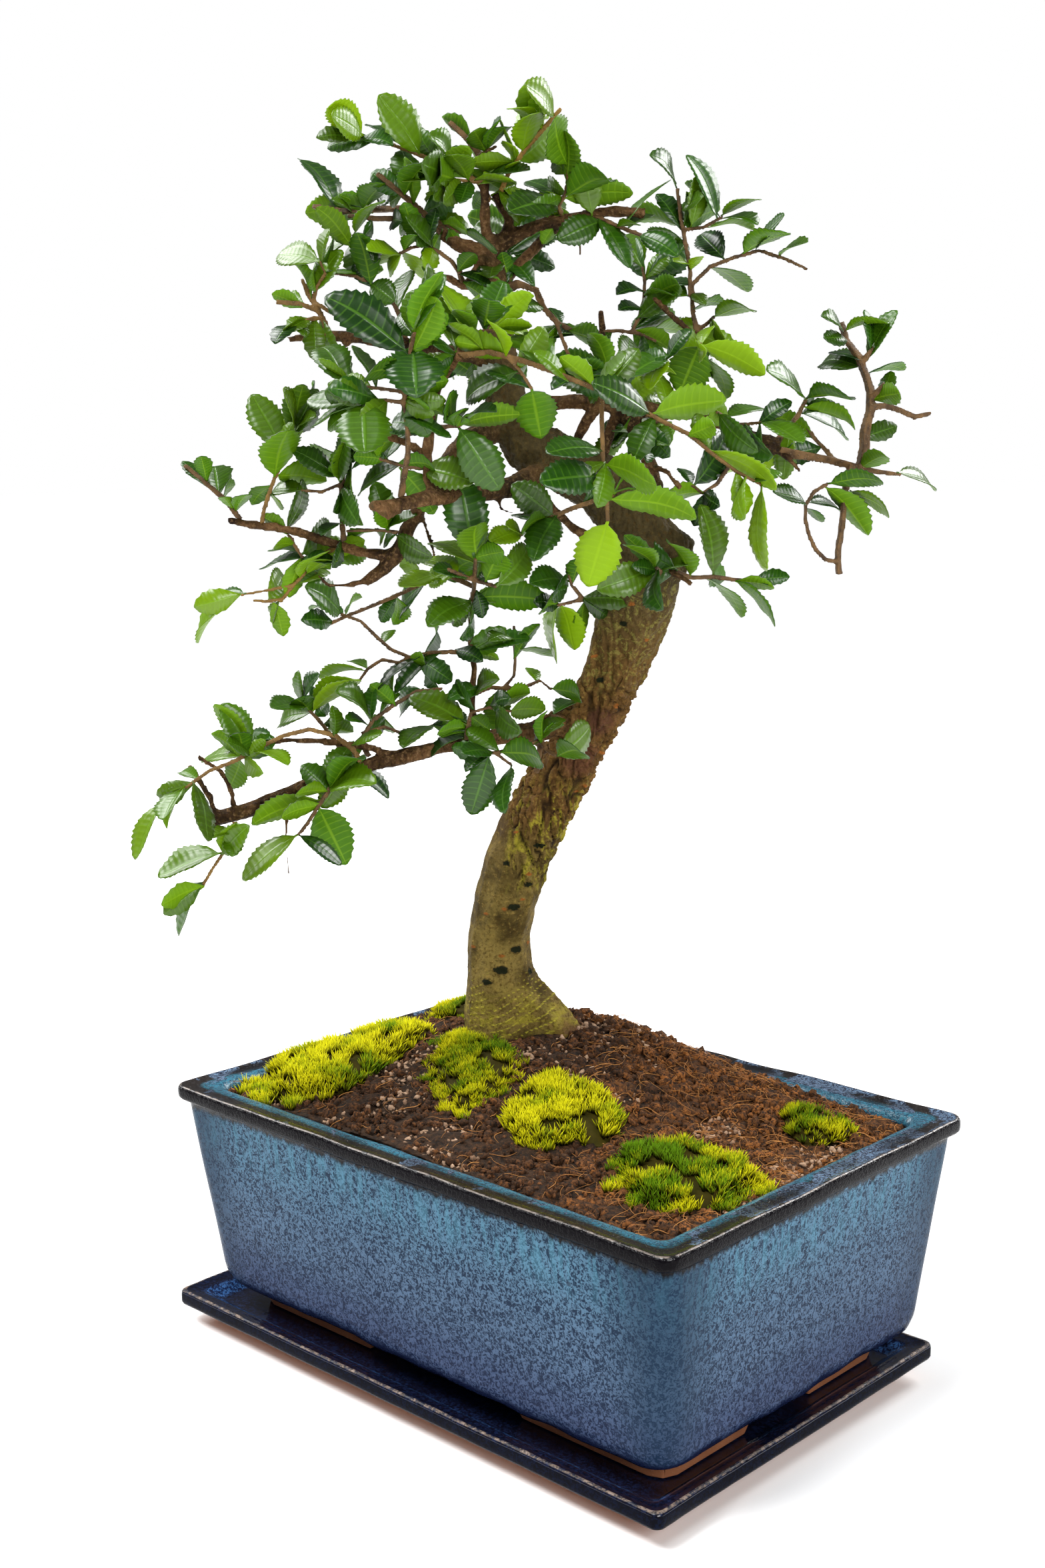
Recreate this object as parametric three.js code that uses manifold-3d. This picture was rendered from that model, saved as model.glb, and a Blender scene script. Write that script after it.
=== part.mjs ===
// A chinese elm bonsai in a glazed pot on its saucer, in millimetres, with +Z up.
// The origin is on the underside of the saucer, below the middle of the pot.

import * as THREE from 'three';
import Module from 'manifold-3d';

const wasm = await Module();
wasm.setup();

// Driving dimensions of the pot.
const potLength = 240;
const potWidth = 163.4;
const rimHeight = 95.8;
const rimBand = 5.5;
const rimOverhang = 1.6;
const rimFace = 12.5;
const wallTaper = 0.102;
const underside = 17;
const floorHeight = 25;
const innerTaper = 0.08;
const footHeight = 8.5;
const footLength = 199;
const footWidth = 119;
const footFlare = 2.4;
const footThickness = 10;
const archHeight = underside;
const longArch = 76;
const shortArch = 36;
const drainRadius = 8;
const drainSpacing = 76;

// Driving dimensions of the saucer.
const saucerLength = 238.7;
const saucerWidth = 153.2;
const saucerHeight = 13;
const saucerFloor = 8.2;
const saucerShift = new THREE.Vector2(-4.5, -4.3);

// Driving dimensions of what fills the pot, and of the tree.
const gap = 0.3;
const soilEdge = 91;
const heapRise = 24;
const meshThickness = 0.8;
const mossRoot = 4;
const leafLength = 24;
const leafSlimness = 0.52;
const bladeThickness = 0.66;
const bladeArch = 0.07;
const twigSides = 3;
const twigStep = 40;
const twigReach = 2;
const petioleRadius = 0.5;
const farLeaves = 6;

// The viewpoint from which the tree's shape was read, as a pinhole camera.
// A place is given as [right, down, away]: two readings in pixels of a frame of
// 1568 by 2352, and how far the place lies behind the pot's middle in millimetres.
const viewTurn = THREE.MathUtils.degToRad(43.89);
const viewDip = THREE.MathUtils.degToRad(10.04);
const viewRoll = THREE.MathUtils.degToRad(0.962);
const viewFocal = 2916;
const viewMiddle = new THREE.Vector2(784, 1176);
const viewStand = new THREE.Vector3(458.9, -491.6, 331);
const viewAway = new THREE.Vector3(-Math.sin(viewTurn), Math.cos(viewTurn), 0);
const viewAhead = viewAway.clone().multiplyScalar(Math.cos(viewDip)).setZ(-Math.sin(viewDip));
const levelRight = new THREE.Vector3(Math.cos(viewTurn), Math.sin(viewTurn), 0);
const viewRight = levelRight.clone().applyAxisAngle(viewAhead, viewRoll);
const viewDown = viewAhead.clone().cross(viewRight);

function fromView([right, down, away]) {
  const ray = viewAhead.clone().multiplyScalar(viewFocal);
  ray.addScaledVector(viewRight, right - viewMiddle.x);
  ray.addScaledVector(viewDown, down - viewMiddle.y);
  const reach = (away - viewStand.dot(viewAway)) / ray.dot(viewAway);
  return ray.multiplyScalar(reach).add(viewStand);
}

function toView(point) {
  const from = point.clone().sub(viewStand);
  const scale = viewFocal / from.dot(viewAhead);
  const seen = new THREE.Vector2(from.dot(viewRight), from.dot(viewDown));
  return seen.multiplyScalar(scale).add(viewMiddle);
}

// A seeded draw, so that every build grows the same tree.
let drawState = 20261;

function draw(low, high) {
  drawState = (drawState + 0x6d2b79f5) | 0;
  let mixed = Math.imul(drawState ^ (drawState >>> 15), 1 | drawState);
  mixed = (mixed + Math.imul(mixed ^ (mixed >>> 7), 61 | mixed)) ^ mixed;
  return low + ((high - low) * ((mixed ^ (mixed >>> 14)) >>> 0)) / 4294967296;
}

// Closed meshes become solids, which can be joined and cut, and come back as geometry.
function solidOf(points, triangles) {
  const vertProperties = new Float32Array(points.flatMap((point) => point.toArray()));
  const triVerts = new Uint32Array(triangles.flat());
  return new wasm.Manifold(new wasm.Mesh({ numProp: 3, vertProperties, triVerts }));
}

function solidOfGeometry(geometry, reshape = (point) => point) {
  const place = geometry.getAttribute('position');
  const points = [];
  const known = new Map();
  const numbers = [];
  for (let i = 0; i < place.count; i += 1) {
    const point = new THREE.Vector3().fromBufferAttribute(place, i);
    const key = point.toArray().map((value) => Math.round(value * 1000)).join(' ');
    if (!known.has(key)) {
      known.set(key, points.length);
      points.push(point);
    }
    numbers.push(known.get(key));
  }
  const order = geometry.index ? Array.from(geometry.index.array) : numbers.map((_, i) => i);
  const triangles = [];
  for (let i = 0; i < order.length; i += 3) {
    const corners = [order[i], order[i + 1], order[i + 2]].map((k) => numbers[k]);
    if (new Set(corners).size === 3) triangles.push(corners);
  }
  return solidOf(points.map(reshape), triangles);
}

function geometryOf(solid) {
  const { numProp, vertProperties, triVerts } = solid.getMesh();
  const positions = [];
  for (let i = 0; i < vertProperties.length; i += numProp) {
    positions.push(vertProperties[i], vertProperties[i + 1], vertProperties[i + 2]);
  }
  const geometry = new THREE.BufferGeometry();
  geometry.setAttribute('position', new THREE.Float32BufferAttribute(positions, 3));
  geometry.setIndex(Array.from(triVerts));
  geometry.computeVertexNormals();
  return geometry;
}

const joined = (solids) => solids.reduce((whole, piece) => whole.add(piece));
const largest = (solid) => solid.decompose().sort((a, b) => b.volume() - a.volume())[0];

// Rings with the same number of points, one above the other, closed at both ends.
function loft(rings) {
  const count = rings[0].length;
  const triangles = [];
  for (let ring = 0; ring + 1 < rings.length; ring += 1) {
    for (let i = 0; i < count; i += 1) {
      const here = ring * count + i;
      const next = ring * count + ((i + 1) % count);
      triangles.push([here, next, next + count], [here, next + count, here + count]);
    }
  }
  const last = (rings.length - 1) * count;
  for (let i = 1; i + 1 < count; i += 1) {
    triangles.push([0, i + 1, i], [last, last + i, last + i + 1]);
  }
  return solidOf(rings.flat(), triangles);
}

// One level ring of the pot or the saucer: a rectangle with round corners.
function roundedRing(length, width, corner, height, shift = new THREE.Vector2()) {
  const steps = 2;
  const middles = [[1, 1], [-1, 1], [-1, -1], [1, -1]];
  return middles.flatMap(([sideX, sideY], quarter) => Array.from({ length: steps + 1 }, (_, step) => {
    const angle = (quarter + step / steps) * (Math.PI / 2);
    const x = sideX * (length / 2 - corner) + corner * Math.cos(angle);
    const y = sideY * (width / 2 - corner) + corner * Math.sin(angle);
    return new THREE.Vector3(x + shift.x, y + shift.y, height);
  }));
}

function rimRing(inset, corner, height) {
  return roundedRing(potLength - 2 * inset, potWidth - 2 * inset, corner, height);
}

// The saucer: a bare base, a thin upright edge, a flat brim and a sunk middle.
function makeSaucer() {
  const brim = [
    [12.5, 3, 0],
    [12, 3, 4],
    [1.5, 3, 7],
    [0, 3, 8.5],
    [0, 3, 12.2],
    [1.2, 3, saucerHeight],
    [6, 3, saucerHeight - 1],
    [9, 3, saucerFloor + 2],
    [11.5, 3, saucerFloor],
  ];
  return loft(brim.map(([inset, corner, height]) => roundedRing(
    saucerLength - 2 * inset, saucerWidth - 2 * inset, corner, height, saucerShift,
  )));
}

// The hollow of the pot, which the soil fills when it is drawn in by a gap.
function cavityRings(clearance, top) {
  const mouth = rimFace + clearance;
  const low = floorHeight + clearance;
  const drop = (height) => mouth + innerTaper * (rimHeight - height);
  return [
    rimRing(drop(low) + 5, 8, low),
    rimRing(drop(low + 5), 10, low + 5),
    rimRing(drop(rimHeight - 6), 6, rimHeight - 6),
    rimRing(mouth, 4.5, Math.min(top, rimHeight + 30)),
  ];
}

function makePot() {
  const wall = (height) => rimOverhang + wallTaper * (rimHeight - height);
  const underBand = rimHeight - rimBand;
  const outside = [
    rimRing(wall(underside) + 7, 10, underside),
    rimRing(wall(underside) + 3.4, 12, underside + 1.2),
    rimRing(wall(underside) + 0.8, 12, underside + 4),
    rimRing(wall(underside + 9), 11, underside + 9),
    rimRing(wall(underBand), 8, underBand),
    rimRing(0, 5, underBand + 1),
    rimRing(0, 5, rimHeight - 0.9),
    rimRing(0.9, 5, rimHeight),
  ];
  const body = loft([...outside, ...cavityRings(0, rimHeight).reverse()]);

  // Four corner feet: a low frame with the middle of each side cut away.
  const frame = loft([
    roundedRing(footLength, footWidth, 7, footHeight),
    roundedRing(footLength + footFlare, footWidth + footFlare, 7, underside + 1),
  ]);
  const inside = [footHeight - 1, underside + 2].map((height) => roundedRing(
    footLength - 2 * footThickness, footWidth - 2 * footThickness, 4, height,
  ));
  const arch = (span, turn) => {
    const outline = new THREE.Shape();
    outline.moveTo(-span / 2 - 1, footHeight - 2);
    outline.lineTo(span / 2 + 1, footHeight - 2);
    outline.lineTo(span / 2 - 1, footHeight + 1.5);
    outline.lineTo(span / 2 - 5, archHeight - 0.5);
    outline.lineTo(span / 2 - 9, archHeight);
    outline.lineTo(9 - span / 2, archHeight);
    outline.lineTo(5 - span / 2, archHeight - 0.5);
    outline.lineTo(1 - span / 2, footHeight + 1.5);
    const cut = new THREE.ExtrudeGeometry(outline, { depth: potLength, bevelEnabled: false });
    cut.translate(0, 0, -potLength / 2).rotateX(Math.PI / 2).rotateZ(turn);
    return solidOfGeometry(cut);
  };
  const hollow = loft(inside);
  const feet = frame.subtract(hollow).subtract(arch(longArch, 0)).subtract(arch(shortArch, Math.PI / 2));

  const drains = [-1, 1].map((side) => {
    const drain = new THREE.CylinderGeometry(drainRadius, drainRadius, 20, 16);
    drain.rotateX(Math.PI / 2).translate(side * drainSpacing / 2, 0, (underside + floorHeight) / 2);
    return solidOfGeometry(drain);
  });
  return drains.reduce((pot, drain) => pot.subtract(drain), body.add(feet));
}

// A strip of net over the two drainage holes.
const netLength = 104;
const netWidth = 24;
const netRows = 1;
const netColumns = 6;
const netBar = 2;

function makeDrainMesh() {
  const pitchX = (netLength - netBar) / netColumns;
  const pitchY = (netWidth - netBar) / netRows;
  let net = solidOfGeometry(new THREE.BoxGeometry(netLength, netWidth, meshThickness));
  for (let column = 0; column < netColumns; column += 1) {
    for (let row = 0; row < netRows; row += 1) {
      const hole = new THREE.BoxGeometry(pitchX - netBar, pitchY - netBar, 4 * meshThickness);
      hole.translate((column - (netColumns - 1) / 2) * pitchX, (row - (netRows - 1) / 2) * pitchY, 0);
      net = net.subtract(solidOfGeometry(hole));
    }
  }
  return net.translate([0, 0, floorHeight + gap + meshThickness / 2]);
}

// The ground: how high the soil stands at a place in the pot. It is heaped up behind
// the tree, runs out slowly to the left and front, and drops steeply to the back wall.
const heapTop = new THREE.Vector2(-12, 34);
const heapReach = { left: 85, right: 70, front: 73, back: 31 };

function soilHeight(x, y) {
  const fromTopX = (x - heapTop.x) / (x < heapTop.x ? heapReach.left : heapReach.right);
  const fromTopY = y < heapTop.y
    ? ((y - heapTop.y) / heapReach.front) ** 2
    : ((y - heapTop.y) / heapReach.back) ** 4;
  const crumb = Math.sin(x * 0.31 + 1.3 * Math.sin(y * 0.23)) * Math.sin(y * 0.37 + 1.1 * Math.sin(x * 0.19));
  return soilEdge + heapRise * Math.exp(-(fromTopX ** 2) - fromTopY) + 0.9 * crumb;
}

function soilBlock(raise) {
  const block = new THREE.BoxGeometry(potLength, potWidth, 2 * rimHeight, 12, 8, 1);
  return solidOfGeometry(block, ({ x, y, z }) => (
    new THREE.Vector3(x, y, z > 0 ? soilHeight(x, y) + raise : 0)
  ));
}

function makeSoil(wood) {
  const hollow = loft(cavityRings(gap, rimHeight + 30));
  const recess = new THREE.BoxGeometry(netLength + 2 * gap, netWidth + 2 * gap, 4);
  recess.translate(0, 0, floorHeight + 2 * gap + meshThickness - 2);
  return largest(soilBlock(0).intersect(hollow).subtract(solidOfGeometry(recess)).subtract(wood));
}

// Moss cushions, as [middle, half length, half width, turn in degrees, height].
const mossCushions = {
  moss_left: { at: [-84, -28], half: [23, 36], turn: 0, rise: 7 },
  moss_back: { at: [-86, 43], half: [16, 17], turn: 10, rise: 4.5 },
  moss_middle: { at: [-28, -15], half: [32, 14], turn: -38, rise: 4.5 },
  moss_front: { at: [25, -24], half: [21, 19], turn: -12, rise: 5.5 },
  moss_right: { at: [81, -27], half: [23, 21], turn: 8, rise: 6 },
  moss_small: { at: [87, 38], half: [13, 12], turn: 0, rise: 4 },
};

function makeMoss({ at, half, turn, rise }, wood) {
  const ball = new THREE.SphereGeometry(1, 12, 6);
  ball.rotateX(Math.PI / 2);
  const cushion = solidOfGeometry(ball, (point) => {
    const round = Math.atan2(point.y, point.x);
    const ragged = 1 + 0.12 * Math.sin(3 * round + at[0]) + 0.08 * Math.sin(5 * round + at[1]);
    const spot = new THREE.Vector2(point.x * half[0] * ragged, point.y * half[1] * ragged);
    const lump = 1 + 0.18 * Math.sin(spot.x * 0.5) * Math.sin(spot.y * 0.6);
    spot.rotateAround(new THREE.Vector2(), THREE.MathUtils.degToRad(turn)).add(new THREE.Vector2(...at));
    const lift = Math.sign(point.z) * Math.sqrt(Math.abs(point.z)) * (point.z > 0 ? rise * lump : mossRoot);
    return new THREE.Vector3(spot.x, spot.y, soilHeight(spot.x, spot.y) + lift);
  });
  const hollow = loft(cavityRings(gap, rimHeight + 30));
  return largest(cushion.intersect(hollow).subtract(soilBlock(gap)).subtract(wood));
}

// A round limb or twig through stations of [right, down, away, radius], cut off square.
function stick(stations, sides, stepLength, extra = 0, relief = () => 1) {
  const radii = stations.map(([, , , radius]) => radius);
  return tube(stations.map(fromView), radii, sides, stepLength, extra, relief);
}

function tube(points, radii, sides, stepLength, extra = 0, relief = () => 1) {
  const curve = new THREE.CatmullRomCurve3(points, false, 'centripetal');
  const steps = Math.max(points.length - 1, Math.round(curve.getLength() / stepLength));
  const frames = curve.computeFrenetFrames(steps, false);
  const rings = [];
  for (let step = 0; step <= steps; step += 1) {
    const along = step / steps;
    const station = curve.getUtoTmapping(along, null) * (points.length - 1);
    const before = Math.min(Math.floor(station), points.length - 2);
    const radius = THREE.MathUtils.lerp(radii[before], radii[before + 1], station - before);
    const middle = curve.getPointAt(along);
    const lengthen = step === 0 ? -extra : step === steps ? extra : 0;
    middle.addScaledVector(frames.tangents[step], lengthen);
    rings.push(Array.from({ length: sides }, (_, side) => {
      const angle = (side / sides) * 2 * Math.PI;
      const reach = radius * relief(angle, middle.z) + extra;
      return middle.clone()
        .addScaledVector(frames.normals[step], reach * Math.cos(angle))
        .addScaledVector(frames.binormals[step], reach * Math.sin(angle));
    }));
  }
  return loft(rings);
}

// The bare wood. Each station is [right, down, away, radius in millimetres].
const trunk = [
  [772, 1665, 40, 13], [768, 1605, 39, 17.4], [764, 1545, 38, 16.8], [756, 1482, 37, 14.1],
  [750, 1397, 35, 11.2], [759, 1342, 32, 11.9], [780, 1282, 29, 12.5], [813, 1212, 25, 12.1],
  [842, 1165, 22, 11.2], [877, 1100, 17, 10.4], [904, 1045, 14, 10.1], [928, 991, 10, 12.2],
  [943, 942, 7, 12.8], [957, 894, 4, 13.4], [966, 845, 1, 13.4], [960, 798, 0, 12.8],
  [935, 755, -2, 11.8], [895, 722, -3, 11], [848, 698, -4, 10.4], [800, 674, -5, 10],
  [768, 638, -6, 9.2], [757, 588, -6, 7.2], [753, 540, -5, 5.8], [747, 470, -2, 4.5],
  [741, 400, 0, 4], [735, 355, 0, 3.2],
];
const thickLimbs = {
  root_right: [
    [766, 1478, 37, 11], [792, 1512, 35, 11.5], [826, 1546, 32, 10.5], [858, 1577, 29, 8.4],
    [888, 1608, 26, 5.6], [916, 1640, 23, 3.4],
  ],
  root_left: [[752, 1508, 40, 10.5], [738, 1548, 42, 10], [724, 1592, 44, 7], [710, 1640, 46, 4]],
  root_back: [[768, 1520, 46, 10], [782, 1560, 56, 7], [790, 1600, 66, 4]],
  knee_stub: [[972, 858, 0, 11], [1004, 822, -2, 9.6], [1020, 798, -3, 6.4]],
  lower_left: [
    [884, 1078, 15, 8], [848, 1083, 8, 6.4], [800, 1097, 1, 4], [740, 1106, -3, 3], [690, 1116, -5, 2.6],
    [640, 1126, -6, 2.5], [600, 1136, -7, 3.3], [560, 1146, -8, 3.1], [480, 1172, -10, 2.5],
    [430, 1190, -11, 2.3], [380, 1213, -12, 2.4], [338, 1227, -13, 3.4], [308, 1232, -14, 3],
  ],
  front_arm: [
    [840, 690, -6, 6.5], [808, 712, -12, 5], [780, 728, -20, 4], [730, 738, -32, 3.4],
    [690, 742, -42, 3.1], [650, 746, -50, 3], [600, 757, -62, 2.2], [558, 760, -72, 1.6],
  ],
  front_upright: [
    [655, 750, -50, 3], [645, 722, -48, 2.4], [641, 690, -47, 2.2], [645, 650, -46, 2.1],
    [646, 612, -47, 2.2], [655, 582, -50, 2.2], [672, 555, -56, 1.7], [690, 533, -62, 1.4],
  ],
  left_diagonal: [
    [750, 640, -6, 6], [708, 660, -16, 4], [684, 678, -22, 3.3], [668, 700, -26, 2.9],
    [655, 725, -30, 2.8], [632, 758, -30, 2.7], [612, 795, -28, 2.6], [600, 825, -26, 3],
    [585, 845, -25, 2.8], [565, 862, -24, 2.4], [548, 874, -24, 1.7],
  ],
  left_arm: [
    [606, 826, -26, 2.6], [580, 832, -25, 2.2], [545, 830, -24, 1.9], [520, 822, -23, 1.8],
    [490, 812, -22, 1.6], [455, 800, -22, 1.6], [400, 790, -21, 1.5], [365, 785, -20, 1.4],
    [343, 781, -20, 1.2],
  ],
  upper_left: [
    [753, 548, -6, 3.6], [700, 532, -9, 2.8], [640, 522, -11, 2.4], [580, 514, -13, 2.1],
    [540, 507, -14, 1.9], [500, 504, -14, 1.7], [460, 503, -14, 1.6], [434, 509, -14, 1.2],
  ],
  top_left: [[740, 392, -1, 4], [715, 378, -2, 3.5], [690, 368, -3, 2.8], [662, 350, -4, 2.4]],
  left_cut: [[736, 424, -2, 3], [705, 428, -3, 2.2], [692, 428, -3, 1.6], [668, 415, -4, 1.2],
    [650, 412, -4, 0.9]],
  leader: [[744, 374, 0, 3.2], [762, 346, 0, 2], [763, 325, 0, 1.8], [752, 306, 0, 2.5], [744, 290, 0, 2]],
  top_stub: [[732, 360, 0, 2.6], [727, 320, 0, 1.9], [727, 290, 0, 1.6], [728, 262, 0, 1.4]],
  top_right: [
    [742, 374, 0, 3.4], [775, 352, 0, 2.6], [800, 340, -1, 2.3], [845, 331, -2, 2.1],
    [900, 320, -3, 1.9], [945, 316, -4, 1.7], [968, 321, -5, 1.7],
  ],
  crown_fork: [[750, 432, 0, 3], [772, 405, 3, 2.2], [800, 375, 5, 2], [825, 350, 3, 1.9],
    [848, 332, -1, 1.7]],
  riser: [[978, 790, -2, 6], [985, 742, -5, 3.2], [975, 695, -9, 2.6], [960, 655, -12, 2.8],
    [940, 620, -16, 3.8]],
  cross_limb: [
    [760, 612, -6, 4], [805, 606, -8, 2.8], [850, 603, -11, 2.8], [890, 601, -14, 3], [945, 612, -16, 3.6],
    [1000, 618, -12, 2.4], [1040, 622, -10, 2], [1100, 645, -8, 1.8], [1140, 660, -7, 2], [1168, 672, -6, 4],
  ],
  centre_stub: [[908, 602, -18, 2.4], [907, 562, -24, 1.5], [905, 520, -28, 1.4], [902, 466, -32, 1.3]],
  centre_brace: [[905, 600, -17, 2.4], [880, 632, -13, 2.1], [862, 668, -8, 2.1], [858, 702, -4, 2.6]],
  right_brace: [[930, 606, -17, 2.6], [916, 645, -12, 2.1], [906, 685, -8, 2.1], [905, 722, -3, 2.4]],
  low_brace: [[800, 722, -14, 2.4], [825, 758, -12, 1.7], [852, 786, -6, 1.6], [900, 815, 0, 2]],
  upright_stem: [
    [716, 1110, -4, 2.2], [708, 1060, -4, 1.4], [712, 1010, -4, 1.2], [706, 960, -4, 1.2],
    [708, 895, -5, 1.2],
  ],
  right_rise: [[1040, 622, -10, 2], [1050, 572, -3, 1.5], [1050, 530, 4, 1.3], [1046, 500, 6, 1.3]],
};
const thinLimbs = {
  flat_cut: [[600, 1136, -7, 2], [575, 1124, -9, 1.7], [530, 1118, -11, 1.4], [440, 1110, -12, 1.3],
    [376, 1118, -13, 1.2]],
  tip_stub_low: [[322, 1228, -13, 2], [318, 1203, -14, 1.5], [300, 1173, -15, 1.3], [283, 1149, -16, 1.2]],
  tip_stub_high: [[352, 1222, -13, 1.6], [349, 1190, -16, 1.2], [331, 1156, -18, 1.2], [298, 1136, -20, 1.1]],
  hanging_twig: [[420, 1196, -11, 1.1], [430, 1230, -6, 0.9], [429, 1272, -4, 0.7], [434, 1312, -4, 0.6]],
  second_cut: [[612, 754, -60, 2.2], [590, 765, -66, 2.4], [577, 772, -70, 2.4]],
  upright_cut: [[641, 690, -47, 1.8], [615, 668, -50, 1.7], [590, 658, -52, 1.6], [572, 652, -54, 1.5]],
  bottom_twig: [[552, 872, -24, 1.2], [510, 878, -24, 1], [484, 875, -24, 0.9], [472, 857, -24, 0.7]],
  wood_block: [[520, 502, -14, 2.4], [520, 519, -16, 2.2]],
  hook: [[840, 332, -2, 1.2], [852, 345, -4, 1], [862, 358, -5, 0.8], [873, 372, -5, 0.8],
    [871, 384, -5, 0.8]],
  right_cut: [[1046, 505, 6, 1.3], [1012, 478, 3, 1.2], [980, 447, 0, 1.1]],
  knee_cut: [[1000, 845, -8, 2.4], [1012, 862, -16, 1.5], [1038, 875, -20, 1]],
  pale_cut: [[978, 700, -9, 1.6], [1000, 708, -15, 1.2], [1020, 732, -20, 1]],
  under_knob: [[1168, 676, -6, 1.6], [1186, 690, -9, 1], [1201, 708, -10, 0.8]],
  link_twig: [[632, 770, -30, 1.1], [643, 802, -24, 0.8], [650, 825, -18, 0.8], [654, 848, -12, 0.7]],
  sag_twig: [[742, 738, -31, 1], [751, 763, -29, 0.8], [777, 773, -27, 0.7], [806, 764, -24, 0.7]],
  side_twigs: [[700, 428, -3, 1.4], [712, 404, -3, 1.2], [722, 384, -2, 1.2]],
};

// The trunk swells and dips a little, and is ribbed where the lower limb leaves it.
function trunkRelief(angle, height) {
  const ribsStart = THREE.MathUtils.smoothstep(height, 175, 205);
  const ribbed = ribsStart * (1 - THREE.MathUtils.smoothstep(height, 262, 300));
  const flare = 1 - THREE.MathUtils.smoothstep(height, 98, 135);
  const roots = flare * (0.1 + 0.16 * Math.cos(3 * angle + 0.6) + 0.1 * Math.cos(2 * angle - 1));
  const ribs = 0.07 * ribbed * Math.cos(5 * angle + height * 0.05);
  return 1 + roots + ribs + 0.03 * Math.sin(height * 0.21 + 2 * angle);
}

function makeWood(extra) {
  const sticks = [stick(trunk, 10, 15, extra, trunkRelief)];
  for (const stations of Object.values(thickLimbs)) {
    const sides = stations[0][3] > 4 ? 6 : 4;
    sticks.push(stick(stations, sides, 40, extra));
  }
  for (const stations of Object.values(thinLimbs)) sticks.push(stick(stations, 3, 24, extra));
  return largest(joined(sticks));
}

// One leaf: it widens from its foot into a toothed blade, arched along its length,
// with the same triangles on both faces.
const bladeHalf = [[0.34, 0.48], [0.41, 0.37], [0.68, 0.36]];

function makeBlade({ foot, tip, across, up, width }, thicken = 0) {
  const half = bladeThickness / 2 + thicken;
  const rise = bladeArch * foot.distanceTo(tip);
  const left = bladeHalf.map(([x, y]) => [x, y * width + thicken]);
  const right = left.map(([x, y]) => [x, -y]).reverse();
  const outline = [[0, 0], ...left, [1, 0], ...right].map(([x, y]) => foot.clone()
    .lerp(tip, x)
    .addScaledVector(across, y)
    .addScaledVector(up, rise * Math.sin(Math.PI * x)));
  const count = outline.length;
  const points = [1, -1].flatMap((face) => (
    outline.map((point) => point.clone().addScaledVector(up, face * half))
  ));
  const triangles = [];
  for (let i = 0; i <= left.length; i += 1) {
    const partner = (count - i) % count;
    const inward = i === 0 ? [0, 1, count - 1] : [i, i + 1, partner];
    const onward = [i + 1, partner - 1, partner];
    const sheet = i === 0 || i === left.length ? [inward] : [inward, onward];
    for (const [a, b, c] of sheet) triangles.push([a, b, c], [count + a, count + c, count + b]);
  }
  for (let i = 0; i < count; i += 1) {
    const next = (i + 1) % count;
    triangles.push([i, count + next, next], [i, count + i, count + next]);
  }
  return solidOf(points, triangles);
}

// A leaf read as [foot right, foot down, tip right, tip down, width seen]. Its foot is
// on the nearest twig, and it is tilted from the line of sight as far as its real
// length and width ask. The lean and roll say to which side it is tilted.
function readLeaf([footRight, footDown, tipRight, tipDown, widthSeen], twigPoint, lean, roll, size) {
  const away = twigPoint.dot(viewAway);
  const read = fromView([footRight, footDown, away]);
  const foot = read.distanceTo(twigPoint) > twigReach ? read : twigPoint.clone();
  const flatTip = fromView([tipRight, tipDown, away]);
  const seen = foot.distanceTo(flatTip);
  const length = Math.max(seen, Math.min(leafLength * size, seen * 1.3 + 4));
  const depth = Math.sqrt(Math.max(length ** 2 - seen ** 2, 0)) * lean;
  const tip = fromView([tipRight, tipDown, away + depth]);
  const scale = viewStand.distanceTo(foot) / viewFocal;
  const wide = Math.max(widthSeen * scale, leafSlimness * length * size);
  const angle = Math.acos(Math.min(1, (widthSeen * scale) / wide)) * roll;
  return poseLeaf(foot, tip, wide, angle);
}

function poseLeaf(foot, tip, width, angle) {
  const axis = tip.clone().sub(foot).normalize();
  const sight = foot.clone().sub(viewStand).normalize();
  const across = axis.clone().cross(sight).normalize().applyAxisAngle(axis, angle);
  const up = across.clone().cross(axis).normalize();
  const facing = Math.abs(up.z) > 0.25 ? up.z : -up.dot(sight);
  if (facing < 0) {
    up.negate();
    across.negate();
  }
  return { foot, tip, across, up, width };
}

// The stalk of a leaf whose foot stands off its twig.
function makePetiole(twigPoint, { foot, tip }) {
  const end = foot.clone().lerp(tip, 0.12);
  return tube([twigPoint, end], [petioleRadius, petioleRadius], 3, leafLength);
}

// A leaf that no reading gives: it stands off its twig to one side, a little raised.
function grownLeaf(twigPoint, along, turn, lift) {
  const side = along.clone().cross(new THREE.Vector3(0, 0, 1)).normalize();
  if (side.lengthSq() < 0.5) side.set(1, 0, 0);
  side.applyAxisAngle(along, turn);
  const axis = side.multiplyScalar(0.85).addScaledVector(along, 0.5);
  axis.z += lift;
  const length = leafLength * draw(0.72, 1.02);
  const tip = twigPoint.clone().addScaledVector(axis.normalize(), length);
  return poseLeaf(twigPoint.clone(), tip, length * leafSlimness, draw(-0.6, 0.6));
}

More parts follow.
